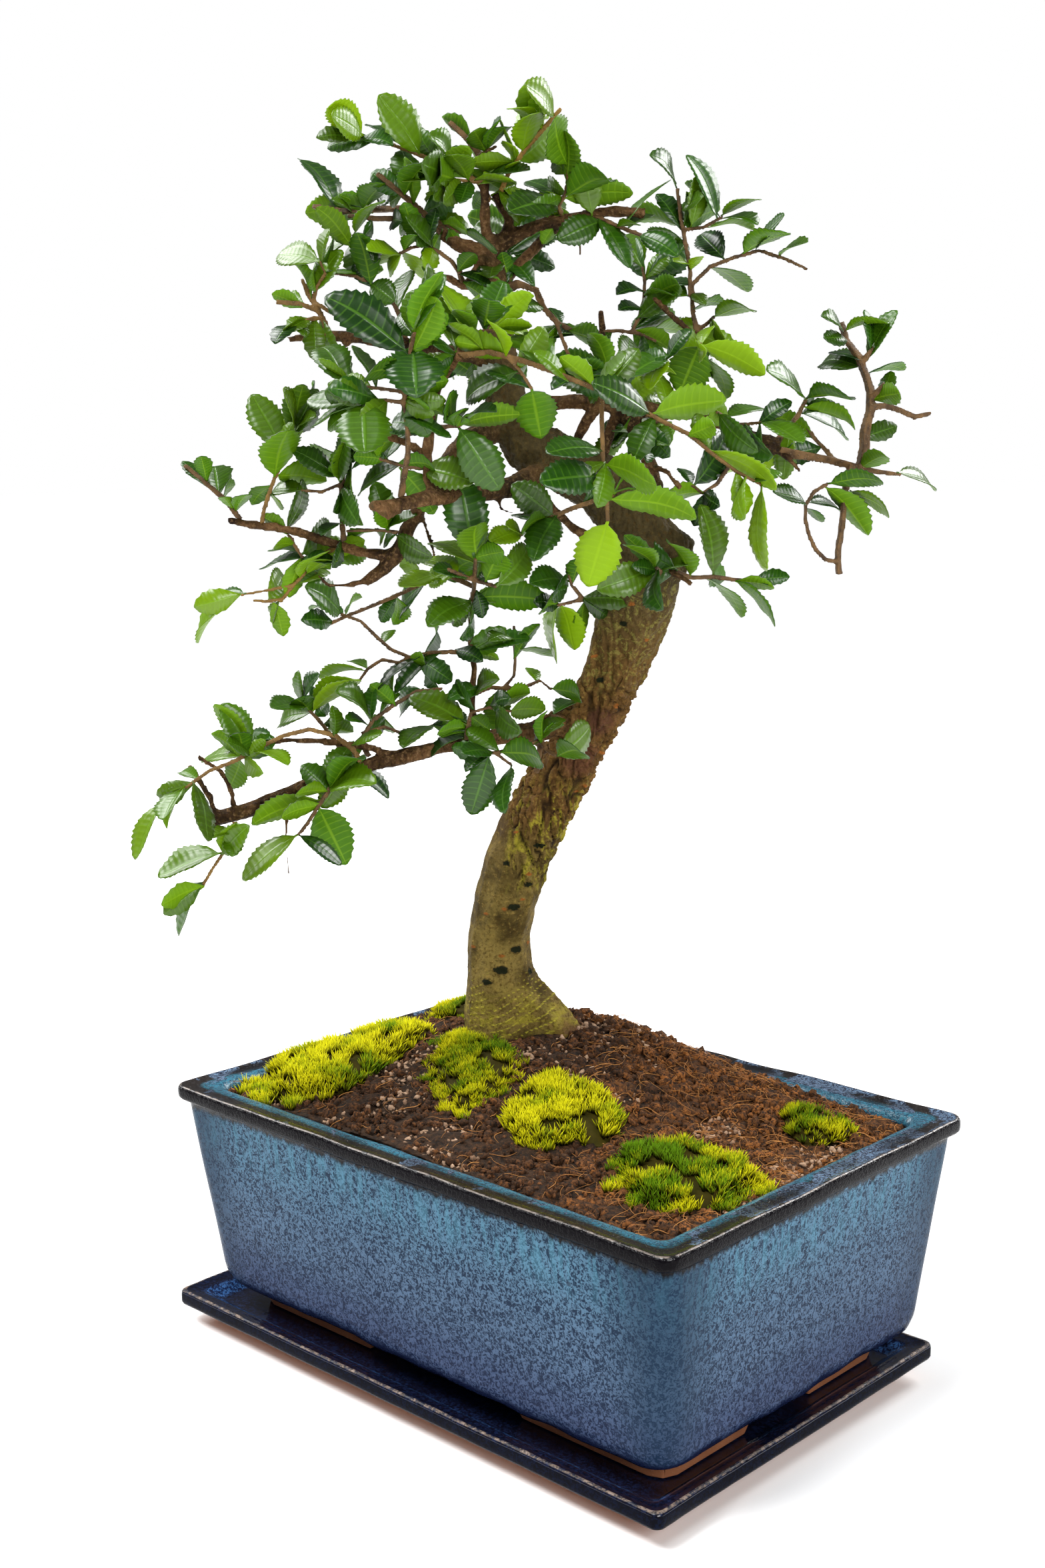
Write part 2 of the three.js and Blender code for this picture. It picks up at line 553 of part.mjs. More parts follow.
// The leafy sprays: their twigs are written as the limbs are, their leaves as readLeaf takes them.
const sprays = {
  top_left: {
    twigs: [
      [[734, 300, 1, 1.5], [724, 284, 4, 1.3], [712, 268, 3, 1.1], [680, 254, -2, 1], [640, 238, -6, 1],
        [600, 221, -9, 0.9], [550, 207, -12, 0.8], [505, 202, -14, 0.7]],
    ],
    leaves: [
      [548, 200, 498, 172, 34], [632, 232, 568, 143, 50], [678, 240, 642, 203, 26], [715, 262, 632, 235, 16],
    ],
  },
  top_left_cut: {
    twigs: [
      [[662, 350, -4, 1.9], [645, 330, -6, 1.5], [600, 290, -8, 1.3], [565, 261, -9, 1.2]],
      [[653, 340, -5, 1], [672, 338, -10, 0.8], [692, 350, -12, 0.7]],
    ],
    leaves: [[600, 288, 620, 238, 44], [608, 292, 645, 245, 30]],
  },
  top_twin: {
    twigs: [
      [[672, 356, -3, 1.8], [655, 334, 1, 1.7], [640, 320, 3, 1.6], [600, 313, 4, 1.5], [510, 318, 5, 1.5],
        [469, 310, 6, 1.2]],
      [[642, 322, 3, 1.4], [625, 327, -3, 1.4], [580, 329, -6, 1.3], [522, 324, -8, 1]],
      [[560, 315, 4, 1.2], [520, 321, 8, 1.1], [484, 326, 10, 0.9]],
    ],
    leaves: [[513, 313, 450, 240, 28], [545, 312, 575, 275, 34]],
  },
  crown_tip: {
    twigs: [
      [[728, 256, 0, 1.8], [722, 238, 0, 1.7], [700, 208, 0, 1.3], [674, 184, 0, 1.2]],
      [[720, 234, 0, 1], [732, 226, -5, 0.8], [745, 220, -8, 0.7]],
    ],
    leaves: [[730, 228, 712, 196, 34]],
  },
  crown_core: {
    twigs: [[[729, 270, -1, 1.1], [715, 274, -7, 0.8], [690, 270, -9, 0.8], [665, 268, -11, 0.7]]],
    leaves: [],
  },
  top_yellow: {
    twigs: [[[748, 296, 0, 1.4], [762, 262, -3, 1.1], [772, 244, -4, 1.1], [805, 205, -6, 1.1],
      [842, 163, -8, 1]]],
    leaves: [[783, 232, 805, 170, 36], [835, 180, 787, 127, 30], [775, 244, 835, 190, 40]],
  },
  top_mid: {
    twigs: [[[845, 331, -2, 1.2], [838, 305, -5, 1], [850, 290, -8, 0.9], [853, 262, -10, 0.8],
      [852, 248, -10, 0.7]]],
    leaves: [
      [853, 250, 832, 178, 40], [850, 298, 915, 272, 38], [840, 300, 793, 272, 26], [838, 306, 763, 318, 40],
      [848, 302, 950, 290, 12],
    ],
  },
  top_right: {
    twigs: [
      [[886, 322, -3, 1.3], [905, 330, -6, 1], [940, 345, -7, 1], [972, 357, -8, 0.9]],
      [[892, 324, -3, 1], [915, 308, -8, 0.8], [960, 300, -12, 0.7]],
    ],
    leaves: [[900, 312, 962, 310, 14], [895, 328, 944, 402, 28]],
  },
  mid_right: {
    twigs: [
      [[750, 436, 0, 2.6], [785, 424, -3, 1.8], [805, 436, 0, 1.5], [815, 460, 3, 1.3], [830, 478, 5, 1.3],
        [850, 494, 6, 1.1], [880, 500, 7, 1], [920, 496, 8, 0.9], [950, 498, 9, 0.9], [985, 512, 10, 0.7]],
      [[948, 498, 9, 0.9], [958, 478, 9, 0.9], [967, 445, 9, 0.9], [967, 420, 9, 0.8], [964, 400, 9, 0.7]],
      [[834, 482, 5, 1], [850, 525, 2, 0.9], [862, 560, -3, 0.8]],
    ],
    leaves: [
      [966, 402, 925, 357, 36], [968, 422, 1030, 362, 42], [950, 500, 1012, 474, 24],
      [966, 505, 1030, 500, 20], [878, 500, 792, 515, 16], [854, 496, 900, 525, 28],
    ],
  },
  right_up: {
    twigs: [
      [[1046, 503, 6, 1.4], [1040, 470, 8, 1.1], [1034, 442, 9, 1.1], [1048, 412, 10, 1],
        [1075, 396, 11, 0.9],
        [1110, 384, 10, 0.9], [1140, 376, 9, 0.9], [1212, 404, 6, 0.7]],
      [[1035, 445, 9, 1], [1036, 410, 7, 1], [1030, 375, 6, 1], [1022, 330, 5, 1], [1016, 283, 4, 0.9]],
      [[1024, 345, 5, 0.9], [1060, 340, 2, 0.8], [1085, 325, 0, 0.7]],
      [[1044, 496, 7, 1], [1058, 488, 7, 0.9], [1072, 474, 8, 0.8]],
    ],
    leaves: [
      [1024, 338, 945, 332, 26], [1018, 284, 975, 233, 18], [1030, 343, 1080, 315, 22],
      [1075, 330, 1030, 233, 26], [1090, 390, 1052, 352, 40], [1112, 384, 1182, 350, 26],
      [1065, 400, 1122, 438, 20], [1036, 445, 985, 440, 26], [1070, 475, 1130, 468, 20],
    ],
  },
  right_front: {
    twigs: [[[1050, 560, 1, 1.2], [1052, 535, -14, 1], [1050, 515, -26, 0.8]]],
    leaves: [[1045, 518, 1020, 590, 64], [1055, 517, 1148, 562, 40], [1056, 530, 1090, 598, 24]],
  },
  center: {
    twigs: [[[906, 565, -24, 1.2], [925, 562, -28, 0.9], [950, 558, -30, 0.8], [1000, 540, -32, 0.7]]],
    leaves: [
      [932, 561, 945, 508, 40], [1000, 540, 938, 568, 34], [998, 542, 975, 585, 28], [912, 562, 842, 545, 30],
      [914, 564, 828, 585, 20],
    ],
  },
  front_long: {
    twigs: [
      [[690, 533, -62, 1.5], [720, 526, -64, 1.3], [760, 534, -66, 1.2], [800, 545, -68, 1.2],
        [850, 565, -70, 1.2],
        [900, 585, -70, 1.1], [960, 613, -70, 1.1], [1000, 635, -70, 1], [1040, 655, -70, 0.9],
        [1080, 690, -70, 0.9], [1120, 716, -68, 0.8], [1143, 728, -66, 0.7]],
      [[902, 586, -70, 1.1], [903, 640, -70, 0.9], [905, 690, -70, 0.9], [910, 740, -70, 0.9],
        [912, 782, -70, 0.8]],
      [[760, 534, -66, 0.9], [780, 556, -66, 0.8], [798, 584, -66, 0.8]],
    ],
    leaves: [
      [980, 624, 888, 575, 44], [975, 621, 1090, 600, 50], [1062, 674, 1165, 735, 30],
      [1118, 715, 1118, 778, 20], [1143, 728, 1150, 857, 26], [835, 558, 760, 508, 40],
      [778, 556, 700, 600, 44], [798, 584, 812, 658, 64], [912, 780, 882, 880, 70], [905, 715, 810, 722, 52],
      [905, 678, 820, 680, 32], [906, 697, 985, 728, 44], [911, 750, 1045, 778, 42],
    ],
  },
  front_mid: {
    twigs: [[[680, 545, -60, 1.2], [692, 518, -60, 0.9], [718, 495, -60, 0.8], [740, 495, -60, 0.7]]],
    leaves: [
      [684, 532, 650, 442, 45], [700, 508, 655, 425, 34], [725, 495, 735, 450, 50], [738, 496, 792, 497, 28],
    ],
  },
  front_left: {
    twigs: [[[645, 640, -46, 1.3], [668, 640, -52, 1], [692, 638, -58, 0.8]]],
    leaves: [[688, 640, 750, 735, 62], [684, 640, 675, 590, 26]],
  },
  front_fan: {
    twigs: [
      [[600, 757, -62, 1.6], [604, 725, -60, 1.3], [612, 680, -62, 1.2], [611, 640, -64, 1.1],
        [606, 605, -66, 1.1],
        [612, 560, -70, 1], [616, 520, -74, 0.9], [622, 498, -76, 0.8]],
      [[607, 604, -66, 1], [580, 600, -68, 0.8], [545, 605, -70, 0.8]],
      [[608, 588, -66, 0.9], [565, 582, -64, 0.8], [522, 578, -62, 0.7]],
    ],
    leaves: [
      [612, 530, 488, 445, 62], [608, 592, 628, 525, 75], [620, 500, 662, 408, 30], [611, 556, 550, 566, 28],
      [560, 602, 462, 600, 36], [542, 605, 548, 680, 78], [548, 606, 470, 640, 16], [524, 578, 482, 522, 50],
    ],
  },
  left_stem: {
    twigs: [
      [[393, 788, -21, 1.2], [395, 770, -22, 0.9], [402, 745, -22, 0.9], [412, 718, -23, 0.9],
        [425, 690, -23, 0.8],
        [435, 665, -24, 0.8], [442, 645, -24, 0.7]],
    ],
    leaves: [
      [428, 682, 378, 592, 50], [412, 716, 432, 646, 52], [414, 714, 490, 722, 38], [440, 650, 468, 576, 24],
    ],
  },
  left_tip: {
    twigs: [[[364, 785, -20, 1.3], [352, 764, -20, 1.1], [320, 735, -19, 1.1], [277, 698, -18, 1]]],
    leaves: [[328, 742, 322, 700, 50], [354, 766, 372, 742, 20]],
  },
  left_under: {
    twigs: [[[430, 795, -21, 1.1], [440, 815, -22, 0.8], [455, 838, -22, 0.7]]],
    leaves: [[435, 804, 396, 772, 32], [452, 832, 495, 786, 40], [453, 838, 396, 853, 14]],
  },
  left_low: {
    twigs: [
      [[508, 818, -22, 1.3], [482, 834, -18, 1], [466, 850, -17, 0.9], [440, 878, -17, 0.9],
        [420, 903, -17, 0.8]],
      [[422, 899, -17, 0.8], [400, 902, -18, 0.8], [380, 901, -18, 0.7]],
      [[440, 877, -17, 0.8], [405, 885, -20, 0.7], [362, 892, -20, 0.6]],
    ],
    leaves: [[402, 901, 422, 858, 34], [362, 892, 298, 964, 16], [450, 868, 490, 828, 16]],
  },
  left_inner: {
    twigs: [
      [[516, 820, -23, 1.3], [513, 780, -22, 1.1], [512, 735, -22, 1.1], [518, 700, -22, 1],
        [535, 680, -22, 0.9],
        [550, 662, -24, 0.8]],
      [[512, 726, -22, 0.8], [480, 738, -22, 0.8], [452, 735, -22, 0.7]],
    ],
    leaves: [[513, 732, 538, 786, 34], [530, 690, 545, 788, 18], [526, 690, 460, 698, 22]],
  },
  left_mid: {
    twigs: [[[641, 700, -47, 1.3], [620, 702, -46, 1], [590, 694, -44, 0.9], [560, 685, -42, 0.8]]],
    leaves: [[600, 697, 540, 742, 20], [580, 690, 615, 640, 34], [568, 688, 585, 655, 18]],
  },
  left_back: {
    twigs: [[[606, 800, -28, 1.1], [580, 796, -26, 0.8], [545, 795, -26, 0.8], [520, 797, -26, 0.7]]],
    leaves: [[582, 796, 585, 745, 26]],
  },
  hang: {
    twigs: [
      [[709, 880, -7, 1.3], [684, 864, -8, 1.1], [655, 868, -7, 1], [600, 892, -6, 1], [570, 905, -5, 0.9],
        [520, 925, -4, 0.9], [481, 943, -3, 0.8]],
    ],
    leaves: [[597, 893, 590, 937, 32], [640, 874, 602, 924, 22], [668, 864, 600, 880, 22]],
  },
  low_twig: {
    twigs: [
      [[708, 980, -4, 1.3], [690, 978, -4, 1.1], [650, 978, -3, 1], [620, 986, -2, 1], [600, 982, -2, 0.9],
        [572, 962, -1, 0.9], [542, 932, 0, 0.8], [512, 921, 0, 0.7]],
      [[622, 985, -2, 1], [600, 994, -1, 0.9], [575, 989, 0, 0.9], [550, 1005, 0, 0.8], [537, 1024, 0, 0.7]],
    ],
    leaves: [[514, 921, 458, 880, 40], [665, 978, 593, 1040, 24], [645, 979, 568, 1035, 12]],
  },
  front_low: {
    twigs: [
      [[708, 912, -5, 1.3], [711, 888, -16, 1], [712, 868, -28, 1], [714, 838, -44, 0.8]],
      [[712, 870, -26, 1], [745, 880, -40, 0.8]],
      [[712, 870, -26, 1], [690, 862, -36, 0.9], [672, 853, -44, 0.8]],
    ],
    leaves: [
      [713, 842, 685, 716, 68], [712, 844, 648, 815, 26], [690, 862, 640, 838, 28], [714, 842, 750, 822, 36],
      [744, 881, 790, 820, 44], [711, 896, 822, 900, 46], [710, 900, 642, 940, 44],
    ],
  },
  mid_yellow: {
    twigs: [
      [[925, 738, -12, 1.4], [900, 748, -20, 1.1], [860, 762, -26, 1.1], [800, 788, -32, 1],
        [775, 805, -34, 0.9]],
    ],
    leaves: [[838, 772, 800, 842, 50], [780, 800, 735, 812, 30]],
  },
  trunk_left: {
    twigs: [
      [[900, 908, -2, 1.5], [874, 899, -8, 1], [856, 875, -12, 0.8], [850, 852, -16, 0.7]],
      [[874, 899, -8, 1], [850, 905, -10, 0.8], [835, 908, -12, 0.7]],
    ],
    leaves: [[855, 872, 795, 875, 38], [842, 907, 862, 975, 42], [837, 908, 835, 992, 18]],
  },
  thread: {
    twigs: [
      [[711, 1040, -4, 1.3], [740, 1030, -2, 1], [760, 1033, 0, 0.9], [790, 1030, 2, 0.9],
        [818, 1020, 4, 0.8],
        [828, 1035, 2, 0.7]],
      [[755, 1033, 0, 1], [768, 1022, 0, 0.8], [773, 1000, 0, 0.8], [771, 960, 0, 0.8], [771, 938, 0, 0.7]],
    ],
    leaves: [[771, 955, 733, 962, 20], [822, 1026, 852, 985, 34], [827, 1034, 870, 1048, 28]],
  },
  low_trunk: {
    twigs: [
      [[845, 1082, 6, 1.8], [822, 1078, -12, 1.5], [812, 1110, -16, 1.4], [806, 1160, -18, 1.2]],
      [[812, 1110, -16, 1.1], [822, 1128, -20, 0.9], [835, 1135, -22, 0.8]],
      [[812, 1110, -16, 1.1], [768, 1125, -18, 1], [735, 1130, -18, 0.8]],
      [[742, 1129, -18, 0.9], [768, 1148, -21, 0.7]],
    ],
    leaves: [
      [748, 1128, 812, 1142, 40], [736, 1130, 707, 1222, 50], [767, 1148, 758, 1220, 28],
      [834, 1135, 885, 1090, 46],
    ],
  },
  low_top: {
    twigs: [
      [[700, 1114, -5, 1.3], [702, 1090, -12, 1], [712, 1062, -16, 0.9], [742, 1062, -18, 0.8],
        [768, 1068, -18, 0.7]],
    ],
    leaves: [
      [702, 1088, 615, 1045, 44], [711, 1064, 665, 1040, 26], [742, 1062, 795, 1040, 24],
      [745, 1063, 783, 1098, 34], [766, 1068, 818, 1065, 34],
    ],
  },
  low_mid: {
    twigs: [
      [[560, 1146, -8, 1.4], [540, 1110, -6, 1.2], [555, 1085, -4, 1], [600, 1052, -2, 1],
        [640, 1032, 0, 0.9],
        [664, 1033, 0, 0.7]],
      [[543, 1100, -5, 1], [575, 1090, 0, 0.9], [615, 1103, 2, 0.8], [650, 1088, 4, 0.7]],
    ],
    leaves: [[638, 1033, 602, 1070, 26], [648, 1089, 605, 1122, 24], [560, 1080, 503, 1038, 24]],
  },
  low_cluster: {
    twigs: [[[520, 1160, -9, 1.4], [505, 1112, -3, 1], [475, 1078, 0, 0.9], [455, 1055, 0, 0.8]]],
    leaves: [[466, 1068, 540, 1020, 24], [460, 1062, 407, 1062, 22], [466, 1070, 420, 1088, 26]],
  },
  low_stem: {
    twigs: [
      [[545, 1150, -8, 1.5], [520, 1115, -16, 1.2], [480, 1095, -20, 1.1], [445, 1098, -22, 1],
        [400, 1115, -23, 1],
        [370, 1135, -24, 0.9], [330, 1150, -25, 0.9], [290, 1170, -26, 0.8], [272, 1190, -26, 0.7],
        [248, 1203, -26, 0.6]],
    ],
    leaves: [
      [249, 1203, 203, 1290, 22], [278, 1185, 245, 1230, 22], [290, 1171, 312, 1262, 26],
      [372, 1134, 305, 1140, 22], [408, 1112, 345, 1118, 18], [362, 1138, 345, 1182, 36],
    ],
  },
  low_tip: {
    twigs: [[[352, 1222, -13, 1.4], [356, 1243, -16, 1], [335, 1280, -18, 0.9], [318, 1305, -18, 0.8],
      [305, 1328, -18, 0.7]]],
    leaves: [[334, 1281, 237, 1315, 34], [310, 1320, 268, 1403, 22]],
  },
  low_hang: {
    twigs: [
      [[497, 1168, -10, 1.5], [492, 1187, -14, 1.1], [480, 1205, -16, 1], [458, 1240, -17, 0.9],
        [447, 1253, -17, 0.7]],
    ],
    leaves: [
      [478, 1210, 520, 1297, 62], [448, 1252, 364, 1320, 34], [484, 1200, 378, 1237, 34],
      [492, 1184, 565, 1175, 36], [494, 1182, 545, 1140, 24], [492, 1186, 452, 1148, 26],
    ],
  },
  upleft_end: {
    twigs: [
      [[494, 504, -14, 1.5], [485, 480, -14, 1.3], [470, 452, -14, 1.2], [455, 430, -14, 1],
        [453, 418, -14, 0.8]],
      [[472, 454, -14, 0.9], [485, 462, -17, 0.9], [515, 480, -19, 0.9], [540, 490, -22, 0.7]],
      [[478, 467, -14, 1.1], [450, 456, -17, 1.1], [415, 454, -18, 1.1]],
      [[470, 450, -14, 0.9], [478, 425, -15, 0.8], [490, 405, -16, 0.8], [480, 392, -17, 0.7]],
      [[485, 478, -14, 0.9], [455, 480, -20, 0.8], [442, 487, -20, 0.7]],
    ],
    leaves: [[444, 486, 413, 516, 22], [481, 393, 418, 383, 38], [485, 398, 525, 370, 26]],
  },
  upleft_in: {
    twigs: [
      [[610, 518, -12, 1.4], [606, 490, -10, 1.1], [590, 455, -8, 1], [560, 428, -8, 1], [545, 418, -8, 0.9],
        [500, 410, -8, 0.8]],
      [[552, 422, -8, 1], [543, 398, -8, 0.9], [532, 375, -8, 0.9], [530, 352, -8, 0.8]],
    ],
    leaves: [[556, 425, 592, 452, 40], [597, 468, 612, 408, 32]],
  },
  top_inner: {
    twigs: [
      [[694, 427, -3, 1.4], [690, 410, -6, 1.2], [680, 395, -8, 1], [655, 376, -9, 0.9], [640, 368, -10, 0.8],
        [615, 373, -11, 0.8], [598, 382, -12, 0.7]],
    ],
    leaves: [[606, 380, 645, 425, 24]],
  },
  right_mid: {
    twigs: [
      [[1100, 645, -8, 1.4], [1090, 626, -14, 0.9], [1075, 618, -18, 0.8]],
      [[1096, 636, -11, 0.9], [1120, 636, -15, 0.8], [1143, 634, -17, 0.7]],
    ],
    leaves: [[1076, 619, 1138, 678, 36], [1116, 636, 1160, 685, 30], [1141, 634, 1205, 665, 24]],
  },
  right_low: {
    twigs: [[[1010, 618, -12, 1.5], [1000, 630, -16, 0.9], [965, 634, -18, 0.8]]],
    leaves: [[1002, 628, 1050, 658, 30], [967, 634, 968, 675, 22], [992, 632, 1003, 670, 36]],
  },
  right_twig: {
    twigs: [[[1164, 664, -4, 1.8], [1178, 646, -1, 1.4], [1198, 622, -2, 1.1], [1210, 598, -3, 0.9]]],
    leaves: [
      [1209, 600, 1150, 556, 20], [1210, 599, 1278, 600, 18], [1206, 610, 1283, 645, 18],
      [1201, 620, 1270, 660, 18],
    ],
  },
  right_outer: {
    twigs: [
      [[1160, 674, -7, 2.6], [1185, 679, -8, 2.2], [1220, 684, -6, 1.8], [1260, 693, -4, 1.7],
        [1310, 706, -3, 1.3],
        [1352, 712, -2, 0.9]],
      [[1278, 697, -4, 1.8], [1270, 725, -6, 1.6], [1266, 760, -6, 1.5], [1262, 800, -6, 1.4],
        [1256, 842, -6, 1.5],
        [1259, 862, -6, 1.5]],
      [[1257, 843, -6, 1.1], [1240, 840, -8, 1], [1225, 826, -9, 1], [1213, 800, -10, 0.9],
        [1208, 770, -10, 0.9],
        [1211, 752, -10, 0.9], [1222, 738, -10, 0.9], [1242, 726, -10, 0.8]],
      [[1250, 690, -4, 1.2], [1232, 668, 3, 1.1], [1215, 650, 5, 1], [1207, 636, 6, 0.8]],
      [[1290, 702, -3, 2], [1298, 665, -2, 2.4], [1298, 645, -2, 2.2], [1308, 605, -1, 1.9],
        [1306, 585, -1, 1.9],
        [1297, 558, 0, 1.7], [1288, 535, 0, 1.7], [1272, 515, 1, 1.4], [1262, 484, 1, 1.6]],
      [[1292, 545, 0, 1.4], [1302, 532, -2, 1.3], [1311, 522, -3, 1.2]],
      [[1306, 595, -1, 1.4], [1318, 586, -4, 1.3], [1328, 576, -5, 1.4]],
      [[1308, 610, -1, 1.6], [1330, 608, 2, 1.4], [1350, 615, 3, 1.3], [1373, 625, 4, 1.3],
        [1397, 620, 4, 0.9]],
    ],
    leaves: [
      [1287, 700, 1330, 685, 28], [1242, 727, 1325, 724, 26], [1236, 730, 1303, 803, 34],
      [1293, 550, 1232, 548, 30], [1307, 600, 1350, 590, 34],
    ],
  },
  knee: {
    twigs: [[[1008, 856, -14, 1.6], [1035, 866, -13, 1.1], [1060, 864, -13, 1], [1100, 869, -13, 1],
      [1136, 873, -13, 0.8]]],
    leaves: [
      [1072, 865, 1050, 757, 40], [1058, 865, 1112, 926, 16], [1100, 869, 1163, 940, 14],
      [1036, 866, 1003, 815, 22],
    ],
  },
  knee_front: {
    twigs: [[[992, 862, -8, 1.6], [984, 852, -24, 0.9]]],
    leaves: [[984, 853, 896, 885, 50], [984, 853, 940, 818, 20], [985, 854, 995, 915, 30]],
  },
  knee_right: {
    twigs: [
      [[1110, 648, -8, 1.5], [1098, 690, -4, 1.1], [1080, 720, -3, 1], [1062, 740, -3, 0.9],
        [1045, 735, -6, 0.8],
        [1036, 727, -8, 0.7]],
    ],
    leaves: [[1040, 731, 1088, 650, 44], [1056, 739, 1080, 760, 28]],
  },
};

// Sprays on the far side, which no reading shows: a twig each, with leaves by turns along it.
const farSprays = {
  far_middle: [[962, 655, -12, 2.4], [950, 640, 8, 1.6], [930, 600, 26, 1.2], [915, 570, 42, 0.9]],
  far_left: [[757, 590, -6, 2.6], [735, 575, 14, 1.6], [700, 560, 34, 1.2], [668, 552, 50, 0.9]],
  far_top: [[741, 400, 0, 2.4], [752, 388, 14, 1.5], [770, 372, 30, 1.1], [780, 350, 44, 0.8]],
};

// Where the tree's bare wood and the twigs of every spray lie, which the leaves keep clear of.
const wood = makeWood(0);
const woodBounded = bounded(wood);
const woodGrown = makeWood(gap);

function bounded(solid) {
  const { min, max } = solid.boundingBox();
  return { solid, box: new THREE.Box3(new THREE.Vector3(...min), new THREE.Vector3(...max)) };
}

function meets(one, other) {
  return one.box.intersectsBox(other.box) && !one.solid.intersect(other.solid).isEmpty();
}

function twigPath(stations) {
  return new THREE.CatmullRomCurve3(stations.map(fromView), false, 'centripetal');
}

function growTwigs(twigs) {
  return bounded(joined(twigs.map((stations) => stick(stations, twigSides, twigStep))).subtract(woodGrown));
}

const growing = Object.entries(sprays).map(([name, { twigs, leaves }]) => ({
  name, twigs, leaves, bare: growTwigs(twigs), blades: [],
}));
for (const [name, stations] of Object.entries(farSprays)) {
  growing.push({ name, twigs: [stations], leaves: [], bare: growTwigs([stations]), blades: [] });
}

// The point of a spray's twigs that is seen nearest to a reading.
function nearestTwigPoint(twigs, right, down) {
  const target = new THREE.Vector2(right, down);
  let nearest;
  for (const stations of twigs) {
    for (const point of twigPath(stations).getPoints(6 * stations.length)) {
      const miss = toView(point).distanceTo(target);
      if (!nearest || miss < nearest.miss) nearest = { miss, point };
    }
  }
  return nearest.point;
}

// The ways in which a leaf may be turned, as [lean, roll, size], best first.
const leafTurns = [
  [1, 1, 1], [-1, -1, 1], [1, -1, 1], [-1, 1, 1], [0.6, 0.9, 0.96], [-0.6, -0.9, 0.96], [0.6, -0.9, 0.96],
  [-0.6, 0.9, 0.96], [0.25, 0.7, 0.9], [-0.25, -0.7, 0.9], [0, 0.4, 0.86], [0, -0.4, 0.86],
];

// A leaf is laid in the first way that is clear of the wood and of all other sprays,
// and clear of its own spray's leaves too if there is one.
function layLeaf(spray, poses) {
  const others = growing.filter((other) => other !== spray);
  let fallback = null;
  for (const pose of poses) {
    const fat = bounded(makeBlade(pose, gap));
    const blocked = meets(fat, woodBounded) || others.some((other) => (
      meets(fat, other.bare) || other.blades.some((blade) => meets(fat, blade))
    ));
    if (!blocked) {
      const blade = bounded(makeBlade(pose));
      if (!spray.blades.some((own) => meets(blade, own))) {
        fallback = pose;
        break;
      }
      fallback = fallback ?? pose;
    }
  }
  if (fallback) spray.blades.push(bounded(makeBlade(fallback)));
  return fallback;
}

function growLeaves(spray) {
  const petioles = [];
  for (const reading of spray.leaves) {
    const twigPoint = nearestTwigPoint(spray.twigs, reading[0], reading[1]);
    const size = draw(0.9, 1.06);
    const side = draw(0, 1) < 0.5 ? -1 : 1;
    const pose = layLeaf(spray, leafTurns.map(([lean, roll, share]) => (
      readLeaf(reading, twigPoint, lean * side, roll, share * size)
    )));
    if (pose && pose.foot.distanceTo(twigPoint) > twigReach) petioles.push(makePetiole(twigPoint, pose));
  }
  return petioles;
}

// On the far side leaves stand by turns to the left and right of their twig.
function growFarLeaves(spray) {
  const path = twigPath(spray.twigs[0]);
  for (let i = 0; i < farLeaves; i += 1) {
    const along = THREE.MathUtils.lerp(0.4, 1, i / (farLeaves - 1));
    const turn = (i % 2) * Math.PI + draw(-0.5, 0.5);
    const poses = [0, 0.5, -0.5, 1].map((twist) => (
      grownLeaf(path.getPointAt(along), path.getTangentAt(along), turn + twist, draw(-0.1, 0.5))
    ));
    layLeaf(spray, poses);
  }
  return [];
}

// Each sub-part's finish.
const finishes = {
  glaze: { color: 0x1c2c4a, roughness: 0.25, metalness: 0 },
  saucerGlaze: { color: 0x14151f, roughness: 0.3, metalness: 0 },
  net: { color: 0x20242a, roughness: 0.7, metalness: 0 },
  soil: { color: 0x2e2018, roughness: 1, metalness: 0 },
  moss: { color: 0x6f8420, roughness: 1, metalness: 0 },
  bark: { color: 0x6b5a48, roughness: 0.85, metalness: 0 },
  leaf: { color: 0x35631f, roughness: 0.4, metalness: 0 },
  youngLeaf: { color: 0x8fa52c, roughness: 0.45, metalness: 0 },
};
const youngSprays = ['top_yellow', 'mid_yellow'];

const bonsai = new THREE.Group();

function addPart(name, solid, finish) {
  const part = new THREE.Mesh(geometryOf(solid), new THREE.MeshStandardMaterial(finishes[finish]));
  part.name = name;
  bonsai.add(part);
}

addPart('saucer', makeSaucer(), 'saucerGlaze');
addPart('pot', makePot(), 'glaze');
addPart('drain_mesh', makeDrainMesh(), 'net');
addPart('soil', makeSoil(woodGrown), 'soil');
for (const [name, cushion] of Object.entries(mossCushions)) {
  addPart(name, makeMoss(cushion, woodGrown), 'moss');
}
addPart('tree_wood', wood, 'bark');

for (const spray of growing) {
  const petioles = spray.leaves.length > 0 ? growLeaves(spray) : growFarLeaves(spray);
  const blades = spray.blades.map(({ solid }) => solid);
  const solid = largest(joined([spray.bare.solid, ...petioles, ...blades]).subtract(woodGrown));
  addPart(`spray_${spray.name}`, solid, youngSprays.includes(spray.name) ? 'youngLeaf' : 'leaf');
}

export default bonsai;
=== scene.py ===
# %% [markdown]
# # A chinese elm bonsai in its glazed pot
#
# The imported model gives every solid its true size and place: a pot on a saucer, soil,
# moss, a trunk with its limbs, and sprays of twigs and leaves. This lesson dresses each
# of them. A piece that needs finer shape is modelled anew around its solid, and every
# surface gets a finish made of nodes, with no picture behind it.

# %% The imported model
import itertools
import math
import random

import bmesh
import bpy
from mathutils import Matrix, Vector, noise
from mathutils.bvhtree import BVHTree


